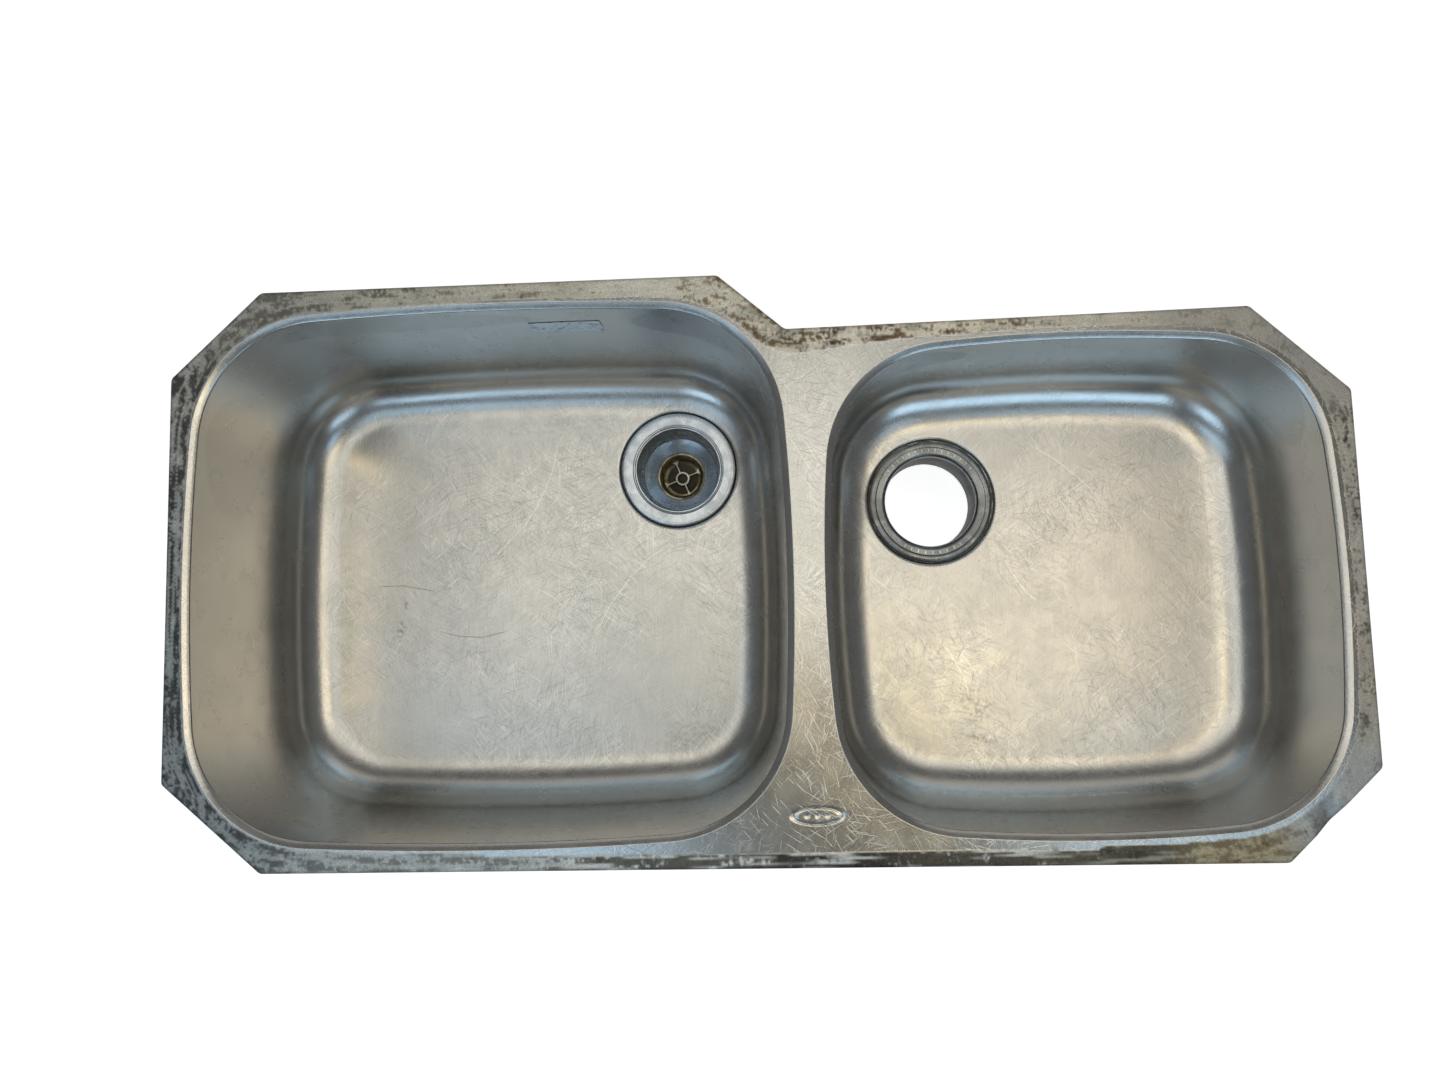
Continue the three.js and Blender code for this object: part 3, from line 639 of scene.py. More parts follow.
# The flange's mouth is painted near black from 1.2 mm to 6 mm down: painted shade inside the throat.
FLANGE_STEEL = turned_steel("worn_flange_steel_painted_shade", DISPOSER_CENTRE, (0.24, 0.25, 0.25),
                            (0.15, 0.16, 0.16), 0.27, FLANGE_SHADE_LINES, (6, 0.92))
TICK_STEEL = turned_steel("worn_tick_steel", DISPOSER_CENTRE, (0.62, 0.63, 0.63),
                          (0.5, 0.51, 0.51), 0.3, (), (6, 0.0))
BRASS = dull_metal("tarnished_brass", (0.50, 0.43, 0.27), (0.22, 0.18, 0.11), (0.10, 0.08, 0.05), 0.45, 0.5)
SPIDER_METAL = dull_metal("worn_spider_metal", (0.74, 0.70, 0.58), (0.50, 0.46, 0.35),
                          (0.25, 0.20, 0.12), 0.4)
ZINC = dull_metal("dull_zinc", (0.60, 0.61, 0.60), (0.40, 0.41, 0.41), (0.42, 0.30, 0.20))
CAST_ZINC = dull_metal("cast_ring_metal", (0.52, 0.53, 0.52), (0.34, 0.35, 0.35), (0.30, 0.22, 0.15), 0.55)
SPRING_STEEL = dull_metal("spring_wire_steel", (0.62, 0.63, 0.63), (0.45, 0.46, 0.46),
                          (0.35, 0.25, 0.18), 0.35)
PUTTY = rubbery("old_putty", (0.10, 0.09, 0.08), (0.20, 0.18, 0.155), 0.8)
BLACK_RUBBER = rubbery("black_rubber", (0.012, 0.012, 0.013), (0.03, 0.03, 0.032), 0.7)
BROWN_RUBBER = rubbery("brown_rubber", (0.045, 0.034, 0.020), (0.11, 0.085, 0.05), 0.6, 120.0, 0.5)
RED_FIBRE = rubbery("red_fibre", (0.15, 0.045, 0.025), (0.28, 0.10, 0.06), 0.85, 260.0)
PADDING = rubbery("sound_padding", (0.028, 0.028, 0.03), (0.06, 0.06, 0.062), 0.9, 90.0, 0.8)
LABEL = label_film()
CRUST = crust_look()

# ---------------------------------------------------------------- bowls

SIDE_STEPS = 14
CORNER_STEPS = 26
FILLET_STEPS = 18
JUNCTION_STEP = 5
RING_STEPS = 120


def rim_arcs(bowl):
    """The side arc, corner arc and back arc of a rim, in the bowl's own quadrant."""
    run_x = bowl["half_x"] - bowl["corner"]
    run_y = bowl["half_y"] - bowl["corner"]
    back_radius = run_x**2 / (2 * bowl["bulge"]) + bowl["bulge"] / 2
    side_radius = run_y**2 / (2 * bowl["bulge"]) + bowl["bulge"] / 2
    back_centre = Vector((0, bowl["half_y"] - back_radius))
    side_centre = Vector((bowl["half_x"] - side_radius, 0))
    reach_back = back_radius - bowl["corner"]
    reach_side = side_radius - bowl["corner"]
    apart = (side_centre - back_centre).length
    along = (reach_back**2 - reach_side**2 + apart**2) / (2 * apart)
    across = math.sqrt(reach_back**2 - along**2)
    ahead = (side_centre - back_centre) / apart
    corner_centre = back_centre + ahead * along + Vector((ahead.y, -ahead.x)) * across
    first = math.atan2(corner_centre.y - side_centre.y, corner_centre.x - side_centre.x)
    last = math.atan2(corner_centre.y - back_centre.y, corner_centre.x - back_centre.x)
    return dict(side=(side_centre, side_radius, 0, first),
                corner=(corner_centre, bowl["corner"], first, last),
                back=(back_centre, back_radius, last, math.pi / 2))


def rim_samples(bowl):
    """Points round a rim with the outward direction at each, anticlockwise from +X."""
    arcs = rim_arcs(bowl)
    quarter = []
    for key, steps in (("side", SIDE_STEPS), ("corner", CORNER_STEPS), ("back", SIDE_STEPS)):
        centre, radius, first, last = arcs[key]
        for step in range(steps):
            angle = lerp(first, last, step / steps)
            out = Vector((math.cos(angle), math.sin(angle)))
            quarter.append((centre + out * radius, out))
    top = (Vector((0, bowl["half_y"])), Vector((0, 1)))
    half = quarter + [top] + [(Vector((-p.x, p.y)), Vector((-n.x, n.y))) for p, n in reversed(quarter[1:])]
    full = half + [(-p, -n) for p, n in half]
    middle = Vector((bowl["x"], bowl["y"]))
    return [(p + middle, n) for p, n in full]


def rim_gap(bowl, x, y):
    """How far a point is outside a rim; inside it is negative."""
    arcs = bowl.setdefault("arcs", rim_arcs(bowl))
    here = Vector((abs(x - bowl["x"]), abs(y - bowl["y"])))
    corner_centre, corner, first, last = arcs["corner"]
    from_corner = here - corner_centre
    angle = math.atan2(from_corner.y, from_corner.x)
    if first <= angle <= last:
        return from_corner.length - corner
    side = (here - arcs["side"][0]).length - arcs["side"][1]
    back = (here - arcs["back"][0]).length - arcs["back"][1]
    return max(side, back)


def nearest_rim(x, y):
    """How far a point is outside the nearer rim; inside it is negative."""
    return min(rim_gap(LARGE, x, y), rim_gap(SMALL, x, y))


def floor_inset(bowl):
    """How far in from the rim the level floor starts."""
    return RIM_WIDTH + (bowl["depth"] - FLOOR_FILLET - RIM_DROP) * DRAFT + FLOOR_FILLET


def fillet_height(bowl, inset):
    """Height of the fillet and floor at an inset from the rim."""
    run = max(0.0, floor_inset(bowl) - inset)
    return -bowl["depth"] + FLOOR_FILLET - math.sqrt(max(0.0, FLOOR_FILLET**2 - run**2))


def side_profile(bowl):
    """(inset, height) from the weld down the rim band, the wall and the fillet to the junction."""
    edge = 0.28 * MM
    slope = Vector((RIM_WIDTH - WELD_LAND, -RIM_DROP)).normalized()
    crisp = Vector((WELD_LAND, 0))
    foot = Vector((RIM_WIDTH, -RIM_DROP))
    down = Vector((DRAFT, -1)).normalized()
    profile = [Vector((0, 0)), crisp - Vector((edge, 0)), crisp.lerp(crisp + slope * edge, 0.1),
               crisp + slope * edge]
    profile += [crisp.lerp(foot, share) + Vector((slope.y, -slope.x)) * -0.12 * MM * math.sin(math.pi * share)
                for share in (0.25, 0.5, 0.75)]
    profile += [foot - slope * 3 * edge, foot - slope * edge, foot + down * edge, foot + down * 3 * edge]
    wall_end = -bowl["depth"] + FLOOR_FILLET
    steps = 9
    profile += [Vector((RIM_WIDTH + (-z - RIM_DROP) * DRAFT, z))
                for z in (lerp(-RIM_DROP - 6 * MM, wall_end, step / steps) for step in range(steps))]
    inset = floor_inset(bowl)
    for step in range(FILLET_STEPS - JUNCTION_STEP + 1):
        angle = math.pi / 2 * (1 - step / FILLET_STEPS)
        profile.append(Vector((inset - FLOOR_FILLET * math.sin(angle),
                               -bowl["depth"] + FLOOR_FILLET * (1 - math.cos(angle)))))
    return profile


def thickness_side(profile):
    """The outer side of the sheet, one thickness behind each point of the profile."""
    outer = []
    for index, here in enumerate(profile):
        before = profile[max(index - 1, 0)]
        after = profile[min(index + 1, len(profile) - 1)]
        ahead = (after - before).normalized()
        back = Vector((ahead.y, -ahead.x)) * SHEET
        outer.append(Vector((max(0.0, here.x + back.x), min(here.y + back.y, -SHEET))))
    outer[0] = Vector((0, -SHEET))
    return outer


def drain_drop(height, distance, bottom):
    """The pressed recess round a drain hole, with rounded edges; distance is in millimetres."""
    return lerp(bottom, height, smooth(RECESS_RADIUS - 1.3, RECESS_RADIUS + 1.2, distance))


def floor_dents(x, y):
    """Shallow unevenness of a floor that years of use leave."""
    return 0.22 * MM * wander(x, y, 0.075, 3.7) + 0.05 * MM * wander(x, y, 0.022, 8.1)


def floor_mesh(bowl, junction, drain):
    """Triangles inside the junction ring, with rings laid for the drain's recess and its hole open;
    bowl_shell presses the recess in.
    """
    points = [Vector((x, y)) for x, y in junction]
    edges = [(index, (index + 1) % len(junction)) for index in range(len(junction))]
    centre = Vector(drain[:2])
    samples = rim_samples(bowl)
    inset = floor_inset(bowl)

    hole_start = len(points)
    radii = [DRAIN_HOLE, 48, 52, 55.5, 56.6, 57.1, 57.6, 58.1, 58.6, 59.1, 59.6, 60.4, 62, 65]
    for ring, radius in enumerate(radii):
        points += [centre + Vector(spot) * MM for spot in circle(radius, RING_STEPS, start=0.01 * (ring % 2))]
    edges += [(hole_start + index, hole_start + (index + 1) % RING_STEPS) for index in range(RING_STEPS)]
    clear = (radii[-1] + 3) * MM
    for step in range(FILLET_STEPS - JUNCTION_STEP + 1, FILLET_STEPS + 1):
        angle = math.pi / 2 * (1 - step / FILLET_STEPS)
        in_by = inset - FLOOR_FILLET * math.sin(angle)
        ring = [spot - out * in_by for spot, out in samples]
        points += [spot for spot in ring if (spot - centre).length > clear]
    spacing = 9 * MM
    columns = int(2 * bowl["half_x"] / spacing)
    rows = int(2 * bowl["half_y"] / spacing)
    for column in range(columns):
        for row in range(rows):
            x = bowl["x"] - bowl["half_x"] + (column + 0.5 * (row % 2)) * spacing
            y = bowl["y"] - bowl["half_y"] + row * spacing
            deep = -rim_gap(bowl, x, y) > inset + 2 * MM
            if deep and (Vector((x, y)) - centre).length > clear:
                points.append(Vector((x, y)))
    verts, _, faces, _, _, _ = delaunay_2d_cdt(points, edges, [], 1, 1e-7)
    hole = (DRAIN_HOLE - 0.2) * MM
    kept = [face for face in faces
            if (sum((verts[index] for index in face), Vector((0, 0))) / len(face) - centre).length > hole]
    return verts, kept


def bowl_shell(name, bowl, drain, nodes):
    """One drawn bowl: rim band, walls, fillet, floor and drain recess, with the sheet's real thickness."""
    samples = rim_samples(bowl)
    count = len(samples)
    profile = side_profile(bowl)
    outer = thickness_side(profile)
    points, faces = [], []

    def ring(inset, height):
        for spot, out in samples:
            here = spot - out * inset
            points.append((here.x, here.y, height))

    for row in list(reversed(outer)) + profile:
        ring(row.x, row.y)
    rows = 2 * len(profile)
    for row in range(rows - 1):
        for index in range(count):
            following = (index + 1) % count
            faces.append((row * count + index, row * count + following,
                          (row + 1) * count + following, (row + 1) * count + index))

    junction_row = (rows - 1) * count
    junction = [points[junction_row + index][:2] for index in range(count)]
    flat, triangles = floor_mesh(bowl, junction, drain)
    bottom = -bowl["depth"] - RECESS_DEPTH * MM
    inset = floor_inset(bowl)
    radius_of = [(Vector(spot) - Vector(drain[:2])).length / MM for spot in flat]

    def surface(x, y):
        in_by = -rim_gap(bowl, x, y)
        calm = smooth(0, 12 * MM, in_by - inset + 10 * MM)
        return fillet_height(bowl, in_by) + floor_dents(x, y) * calm

    upper, lower = {}, {}
    for index, spot in enumerate(flat):
        if index < count:
            upper[index] = junction_row + index
            lower[index] = index
            continue
        height = surface(*spot)
        step = 0.5 * MM
        tilt = Vector(((surface(spot.x + step, spot.y) - height) / step,
                       (surface(spot.x, spot.y + step) - height) / step, -1)).normalized()
        dropped = drain_drop(height, radius_of[index], bottom)
        upper[index] = len(points)
        points.append((spot.x, spot.y, dropped))
        lower[index] = len(points)
        points.append((spot.x + tilt.x * SHEET, spot.y + tilt.y * SHEET, dropped + tilt.z * SHEET))
    faces += [tuple(upper[index] for index in face) for face in triangles]
    faces += [tuple(lower[index] for index in reversed(face)) for face in triangles]
    hole_start = count
    for index in range(RING_STEPS):
        here, after = hole_start + index, hole_start + (index + 1) % RING_STEPS
        faces.append((upper[here], upper[after], lower[after], lower[here]))
    return piece(name, points, faces, STEEL, replaces=nodes, slot="sink_steel", crease=40)


# ---------------------------------------------------------------- deck


def front_edge(x):
    share = (x - DECK_LEFT) / (DECK_RIGHT - DECK_LEFT)
    return lerp(DECK_FRONT_LEFT, DECK_FRONT_RIGHT, share)


def deck_corners():
    return [
        (DECK_RIGHT - CUT_X, front_edge(DECK_RIGHT - CUT_X)),
        (DECK_RIGHT, DECK_FRONT_RIGHT + CUT_Y),
        (DECK_RIGHT, BACK_SMALL_END - CUT_Y),
        (DECK_RIGHT - CUT_X, BACK_SMALL_END),
        (STEP_END, BACK_SMALL_STEP),
        (STEP_START, BACK_LARGE),
        (DECK_LEFT + CUT_X, BACK_LARGE),
        (DECK_LEFT, BACK_LARGE - CUT_Y),
        (DECK_LEFT, DECK_FRONT_LEFT + CUT_Y),
        (DECK_LEFT + CUT_X_FRONT_LEFT, front_edge(DECK_LEFT + CUT_X_FRONT_LEFT)),
    ]


def deck_outline():
    """The deck's outline with its corners slightly rounded and its long edges divided."""
    softened = [Vector(spot) for spot in rounded(deck_corners(), 2.5 * MM, 3)]
    outline = []
    spacing = 3 * MM
    for index, here in enumerate(softened):
        after = softened[(index + 1) % len(softened)]
        pieces = max(1, round((after - here).length / spacing))
        outline += [here.lerp(after, step / pieces) for step in range(pieces)]
    return outline


def edge_lines():
    """Each edge of the deck as its start, its direction and its length."""
    corners = deck_corners()
    lines = []
    for (x1, y1), (x2, y2) in zip(corners, corners[1:] + corners[:1]):
        length = math.hypot(x2 - x1, y2 - y1)
        lines.append((x1, y1, (x2 - x1) / length, (y2 - y1) / length, length))
    return lines


DECK_EDGES = edge_lines()
EMBLEM = dict(x=0.4 * MM, y=-198.7 * MM, half_x=19 * MM, half_y=6.5 * MM)
KINK = dict(x=392 * MM, y=-207 * MM, along=(0.73, 0.68), reach=17 * MM, drop=4.2 * MM)


def emblem_press(x, y):
    """A blank oval pressed into the deck, with three dots in it, as a depth."""
    dx, dy = x - EMBLEM["x"], y - EMBLEM["y"]
    if abs(dx) > 24 * MM or abs(dy) > 11 * MM:
        return 0.0
    ratio = math.hypot(dx / EMBLEM["half_x"], dy / EMBLEM["half_y"])
    off_oval = (ratio - 1) * EMBLEM["half_y"] / MM
    depth = 0.55 * math.exp(-(off_oval / 0.75) ** 2)
    for spot in (-8, 0, 8):
        depth += 0.4 * math.exp(-(((dx / MM - spot) ** 2 + (dy / MM) ** 2) / 1.6**2))
    return depth * MM


def kink_drop(x, y):
    """The bent corner of the deck: a sharp fold that falls away toward the cut edge."""
    dx, dy = x - KINK["x"], y - KINK["y"]
    ahead_x, ahead_y = KINK["along"]
    along = dx * ahead_x + dy * ahead_y
    outward = dx * ahead_y - dy * ahead_x
    ridge = max(0.0, 1 - abs(along + 0.25 * outward) / KINK["reach"])
    return KINK["drop"] * ridge * smooth(-16 * MM, 12 * MM, outward)


def deck_height(x, y):
    gap = nearest_rim(x, y)
    free = smooth(0, 9 * MM, gap)
    bow = 0.25 * MM * (0.5 + 0.5 * wander(x, y, 0.11, 5.3))
    return -free * (bow + kink_drop(x, y)) - emblem_press(x, y)


# Old sealant on the deck: place (mm), pale and dark colour as seen, dark share, thick share, cover.
RESIDUE_ZONES = (
    (-520, -160, (0.66, 0.66, 0.64), (0.30, 0.30, 0.30), 0.58, 0.06, 0.95),
    (-518, 20, (0.76, 0.76, 0.74), (0.27, 0.27, 0.27), 0.56, 0.10, 0.95),
    (-516, 150, (0.80, 0.79, 0.76), (0.34, 0.33, 0.31), 0.52, 0.10, 0.95),
    (-470, 215, (0.78, 0.77, 0.73), (0.52, 0.50, 0.46), 0.50, 0.08, 0.90),
    (-330, 234, (0.84, 0.82, 0.76), (0.50, 0.47, 0.40), 0.42, 0.10, 0.90),
    (-215, 234, (0.86, 0.84, 0.77), (0.60, 0.55, 0.46), 0.34, 0.10, 0.85),
    (-130, 232, (0.93, 0.91, 0.85), (0.74, 0.66, 0.53), 0.12, 0.10, 0.85),
    (-75, 228, (0.93, 0.90, 0.83), (0.60, 0.51, 0.38), 0.42, 0.42, 0.92),
    (-25, 194, (0.90, 0.86, 0.78), (0.52, 0.42, 0.29), 0.50, 0.56, 0.95),
    (30, 187, (0.95, 0.91, 0.84), (0.42, 0.32, 0.22), 0.46, 0.50, 0.95),
    (110, 190, (0.95, 0.91, 0.82), (0.46, 0.34, 0.23), 0.38, 0.42, 0.92),
    (230, 193, (0.90, 0.87, 0.80), (0.46, 0.38, 0.31), 0.30, 0.28, 0.80),
    (340, 190, (0.80, 0.78, 0.73), (0.58, 0.55, 0.50), 0.30, 0.10, 0.60),
    (405, 150, (0.82, 0.81, 0.78), (0.56, 0.53, 0.48), 0.28, 0.10, 0.50),
    (431, 75, (0.82, 0.80, 0.75), (0.28, 0.22, 0.19), 0.44, 0.45, 0.90),
    (430, -10, (0.80, 0.78, 0.74), (0.36, 0.29, 0.24), 0.36, 0.25, 0.88),
    (429, -110, (0.78, 0.75, 0.69), (0.38, 0.31, 0.26), 0.38, 0.20, 0.85),
    (405, -190, (0.72, 0.72, 0.71), (0.50, 0.50, 0.50), 0.32, 0.05, 0.60),
    (320, -234, (0.74, 0.68, 0.54), (0.52, 0.45, 0.33), 0.50, 0.20, 0.92),
    (235, -235, (0.66, 0.65, 0.60), (0.35, 0.33, 0.27), 0.80, 0.25, 0.95),
    (110, -235, (0.93, 0.93, 0.91), (0.33, 0.31, 0.26), 0.84, 0.30, 0.95),
    (20, -234, (0.95, 0.95, 0.93), (0.24, 0.22, 0.19), 0.74, 0.40, 0.95),
    (-90, -230, (0.92, 0.92, 0.90), (0.40, 0.39, 0.35), 0.74, 0.30, 0.95),
    (-300, -230, (0.78, 0.77, 0.74), (0.52, 0.51, 0.48), 0.46, 0.15, 0.88),
)
COUNTER_FRONT = 12 * MM
EDGE_TONE = 0.22
# The back edges on both sides of the step and the step itself, by their order in deck_corners.
STEPPED_EDGES = (3, 4, 5)


def linear(channel):
    """The linear value of a colour channel as seen on a screen."""
    return channel / 12.92 if channel <= 0.04045 else ((channel + 0.055) / 1.055) ** 2.4


def outside_counter(x, y):
    """How far a point of the deck lay under the countertop; it is negative inside the cut-out."""
    gap = nearest_rim(x, y)
    reveal = lerp(0.6, 3.5, smooth(-400 * MM, -40 * MM, x)) * MM
    side = gap - reveal
    if LARGE["x"] < x < SMALL["x"] and y < 0:
        side = min(side, front_edge(x) + COUNTER_FRONT - y)
    if -48 * MM < x < 108 * MM and y > 0:
        from_low = x / MM + 5
        line = 172 + 0.1 * max(from_low, 0) + 0.012 * max(-from_low, 0) ** 2
        side = min(side, y - line * MM)
    return side


def edge_gap(x, y):
    """Distance from a point of the deck in to its nearest outer edge."""
    least = 1.0
    for x1, y1, ahead_x, ahead_y, length in DECK_EDGES:
        along = (x - x1) * ahead_x + (y - y1) * ahead_y
        if -5 * MM < along < length + 5 * MM:
            least = min(least, abs((x - x1) * ahead_y - (y - y1) * ahead_x))
    return least


def zone_mix(x, y):
    """Pale and dark colour, dark share, thick share and cover at a point, from the zones near it."""
    weights = [1 / (math.hypot(x / MM - zone[0], y / MM - zone[1]) + 12) ** 4 for zone in RESIDUE_ZONES]
    total = sum(weights)
    pale, dark = [0, 0, 0], [0, 0, 0]
    dark_share = thick_share = cover = 0
    for weight, (_, _, zone_pale, zone_dark, share, thick, covered) in zip(weights, RESIDUE_ZONES):
        part = weight / total
        for channel in range(3):
            pale[channel] += part * linear(zone_pale[channel])
            dark[channel] += part * linear(zone_dark[channel])
        dark_share += part * share
        thick_share += part * thick
        cover += part * covered
    return pale, dark, dark_share, thick_share, cover


def residue_at(x, y):
    """Colour, cover and thickness of the old sealant at a point of the deck."""
    inside = outside_counter(x, y)
    edge_noise = 0.7 * MM * wander(x, y, 0.006, 1.9)
    cover = smooth(0.0, 0.9 * MM, inside + edge_noise)
    if cover <= 0:
        return (0.5, 0.5, 0.5), 0.0, 0.0
    pale, dark, dark_share, thick_share, zone_cover = zone_mix(x, y)
    along_side = abs(x - 0.5 * (DECK_LEFT + DECK_RIGHT)) > 440 * MM
    stretch = (1, 3.2) if along_side else (3.2, 1)
    blotch = wander(x / stretch[0], y / stretch[1], 0.0056, 11.3) * 0.7
    blotch += wander(x, y, 0.0040, 2.2) * 0.5 + wander(x, y, 0.0021, 6.1) * 0.5
    level = blotch + (dark_share - 0.5) * 1.7
    darkness = smooth(-0.20, 0.20, level)
    outline = math.exp(-(((level - 0.02) / 0.07) ** 2))
    # The residue is drawn darker within about 2 mm of the deck's outer edge.
    edge = 1 - smooth(0.4 * MM, 2.2 * MM, edge_gap(x, y) + 0.8 * MM * wander(x, y, 0.007, 8.8))
    streak = smooth(0.12, 0.34, wander(inside * 3.6, (x - y) * 0.14, 0.0065, 4.4))
    tone = wander(x, y, 0.014, 9.9) * 0.16 + wander(x, y, 0.003, 7.3) * 0.12
    color = []
    for channel in range(3):
        value = lerp(pale[channel], dark[channel], darkness)
        value = lerp(value, 1.15 * pale[channel], 0.75 * streak)
        value *= (1 - 0.45 * outline * thick_share / 0.5) * (1 - 0.55 * edge)
        color.append(min(1.0, max(0.0, value * (1 + tone))))
    patchy = smooth(-0.75, -0.25, wander(x, y, 0.009, 14.2) + (zone_cover - 0.5) * 1.4)
    cover *= lerp(zone_cover * 0.55, min(1.0, zone_cover + 0.05), patchy)
    lump = wander(x / stretch[0], y / stretch[1], 0.0050, 21.7) * 0.75 + wander(x, y, 0.0028, 30.5) * 0.45
    thickness = max(0.0, lump + (thick_share - 0.62)) * 1.5 * MM * smooth(0.4 * MM, 2.2 * MM, inside)
    return tuple(color), cover, min(thickness, 0.55 * MM)


def deck_points():
    """Scattered inner points of the deck: dense under the old sealant and at the pressed mark."""
    fine, coarse, finest = 1.7 * MM, 8 * MM, 0.55 * MM
    outline = deck_corners()
    spots = []

    def inside_deck(x, y, margin):
        for index, (x1, y1) in enumerate(outline):
            x2, y2 = outline[(index + 1) % len(outline)]
            inward_by = ((x2 - x1) * (y - y1) - (y2 - y1) * (x - x1)) / math.hypot(x2 - x1, y2 - y1)
            if inward_by < margin and index not in STEPPED_EDGES:
                return False
        step_slope = (BACK_LARGE - BACK_SMALL_STEP) / (STEP_START - STEP_END)
        on_step = BACK_SMALL_STEP + (x - STEP_END) * step_slope
        back = BACK_LARGE if x < STEP_START else on_step if x < STEP_END else lerp(
            BACK_SMALL_STEP, BACK_SMALL_END, (x - STEP_END) / (DECK_RIGHT - CUT_X - STEP_END))
        return y < back - 1.6 * margin

    def grid(spacing, left, right, front, back, wanted):
        for column in range(int((right - left) / spacing)):
            for row in range(int((back - front) / spacing)):
                x = left + (column + 0.5 * (row % 2)) * spacing
                y = front + row * spacing
                if wanted(x, y) and inside_deck(x, y, 1.0 * MM):
                    spots.append(Vector((x, y)))

    def near_emblem(x, y):
        return abs(x - EMBLEM["x"]) < 23 * MM and abs(y - EMBLEM["y"]) < 10 * MM

    def open_deck(x, y, clear):
        return nearest_rim(x, y) > clear and not near_emblem(x, y)

    bounds = (DECK_LEFT, DECK_RIGHT, DECK_FRONT_RIGHT, BACK_LARGE)
    grid(fine, *bounds, lambda x, y: open_deck(x, y, 0.9 * MM) and outside_counter(x, y) > -1.5 * MM)
    grid(coarse, *bounds, lambda x, y: open_deck(x, y, 4 * MM) and outside_counter(x, y) < -3 * MM)
    grid(finest, EMBLEM["x"] - 23 * MM, EMBLEM["x"] + 23 * MM, EMBLEM["y"] - 10 * MM, EMBLEM["y"] + 10 * MM,
         lambda x, y: nearest_rim(x, y) > 1 * MM)
    return spots


def paint(made, colors):
    layer = made.data.color_attributes.new("residue", "FLOAT_COLOR", "POINT")
    layer.data.foreach_set("color", [channel for color in colors for channel in color])


def deck_sheet():
    """The deck around both bowls, cut off at its corners, with a blank mark and a bent corner."""
    outline = deck_outline()
    edge = 0.15 * MM
    inner = [Vector(inward(outline, index, edge)) for index in range(len(outline))]
    rims = [[spot for spot, _ in rim_samples(bowl)] for bowl in (LARGE, SMALL)]
    points, edges = [], []
    for loop in (inner, *rims):
        start = len(points)
        points += loop
        edges += [(start + index, start + (index + 1) % len(loop)) for index in range(len(loop))]
    points += deck_points()
    flat, _, triangles, _, _, _ = delaunay_2d_cdt(points, edges, [], 1, 1e-7)

    def solid_face(face):
        middle = sum((flat[index] for index in face), Vector((0, 0))) / len(face)
        return nearest_rim(*middle) > 0

    triangles = [face for face in triangles if solid_face(face)]
    heights = [deck_height(*spot) for spot in flat]
    top = [(spot.x, spot.y, height) for spot, height in zip(flat, heights)]
    under = [(spot.x, spot.y, height - SHEET) for spot, height in zip(flat, heights)]
    points_3d = top + under
    half = len(top)
    faces = [tuple(face) for face in triangles]
    faces += [tuple(half + index for index in reversed(face)) for face in triangles]
    loops = [(0, len(inner))]
    for rim in rims:
        loops.append((loops[-1][0] + loops[-1][1], len(rim)))
    for start, length in loops[1:]:
        for index in range(length):
            after = (index + 1) % length
            faces.append((start + after, start + index, half + start + index, half + start + after))
    side = len(points_3d)
    for depth in (edge, SHEET - edge):
        points_3d += [(outline[index].x, outline[index].y, heights[index] - depth)
                      for index in range(len(inner))]
    rows = [0, side, side + len(inner), half]
    for first, second in zip(rows, rows[1:]):
        for index in range(len(inner)):
            after = (index + 1) % len(inner)
            faces.append((first + index, first + after, second + after, second + index))
    made = piece("deck_sheet", points_3d, faces, DECK_STEEL, replaces=("deck",), slot="sink_steel", crease=40)

    residue = [residue_at(*spot) for spot in flat]
    colors = [(*color, cover) for color, cover, _ in residue]
    bare = [(*color, 0.0) for color, _, _ in residue]
    # The deck's cut edge is coloured dark grey, laid as a 0.75 cover.
    coat_tone = linear(EDGE_TONE)
    rim_colors = [(coat_tone, coat_tone, coat_tone, 0.75)] * (2 * len(inner))
    paint(made, colors + bare + rim_colors)
    sealant_crust(flat, triangles, heights, residue)


def sealant_crust(flat, triangles, heights, residue):
    """Raised lumps of old sealant and stone, cut out of the deck's own triangles where they are thick."""
    least = 0.06 * MM
    points, colors, faces, seen = [], [], [], {}

    def vertex(key, x, y, z, color):
        if key not in seen:
            seen[key] = len(points)
            points.append((x, y, z))
            colors.append((*color, 1.0))
        return seen[key]

    def corner(index, lower):
        color, _, thickness = residue[index]
        shade = 0.75 + 0.5 * smooth(-1, 1, wander(*flat[index], 0.003, 17.0))
        tone = tuple(min(1.0, channel * shade) for channel in color)
        height = heights[index] + (-0.08 * MM if lower else thickness - least)
        return vertex((index, lower), *flat[index], height, tone)

    def crossing(first, second):
        first, second = sorted((first, second))
        share = (least - residue[first][2]) / (residue[second][2] - residue[first][2])
        spot = flat[first].lerp(flat[second], share)
        color = tuple(0.7 * lerp(a, b, share) for a, b in zip(residue[first][0], residue[second][0]))
        height = lerp(heights[first], heights[second], share) - 0.04 * MM
        return vertex((first, second, "edge"), spot.x, spot.y, height, color)

    for face in triangles:
        for lower in (False, True):
            loop = []
            for position, here in enumerate(face):
                after = face[(position + 1) % len(face)]
                here_in, after_in = residue[here][2] > least, residue[after][2] > least
                if here_in:
                    loop.append(corner(here, lower))
                if here_in != after_in:
                    loop.append(crossing(here, after))
            if len(loop) > 2:
                faces.append(tuple(reversed(loop)) if lower else tuple(loop))
    made = piece("sealant_crust", points, faces, CRUST, slot="putty", crease=50, fix_normals=False)
    paint(made, colors)
    return made


# ---------------------------------------------------------------- label and sound pads


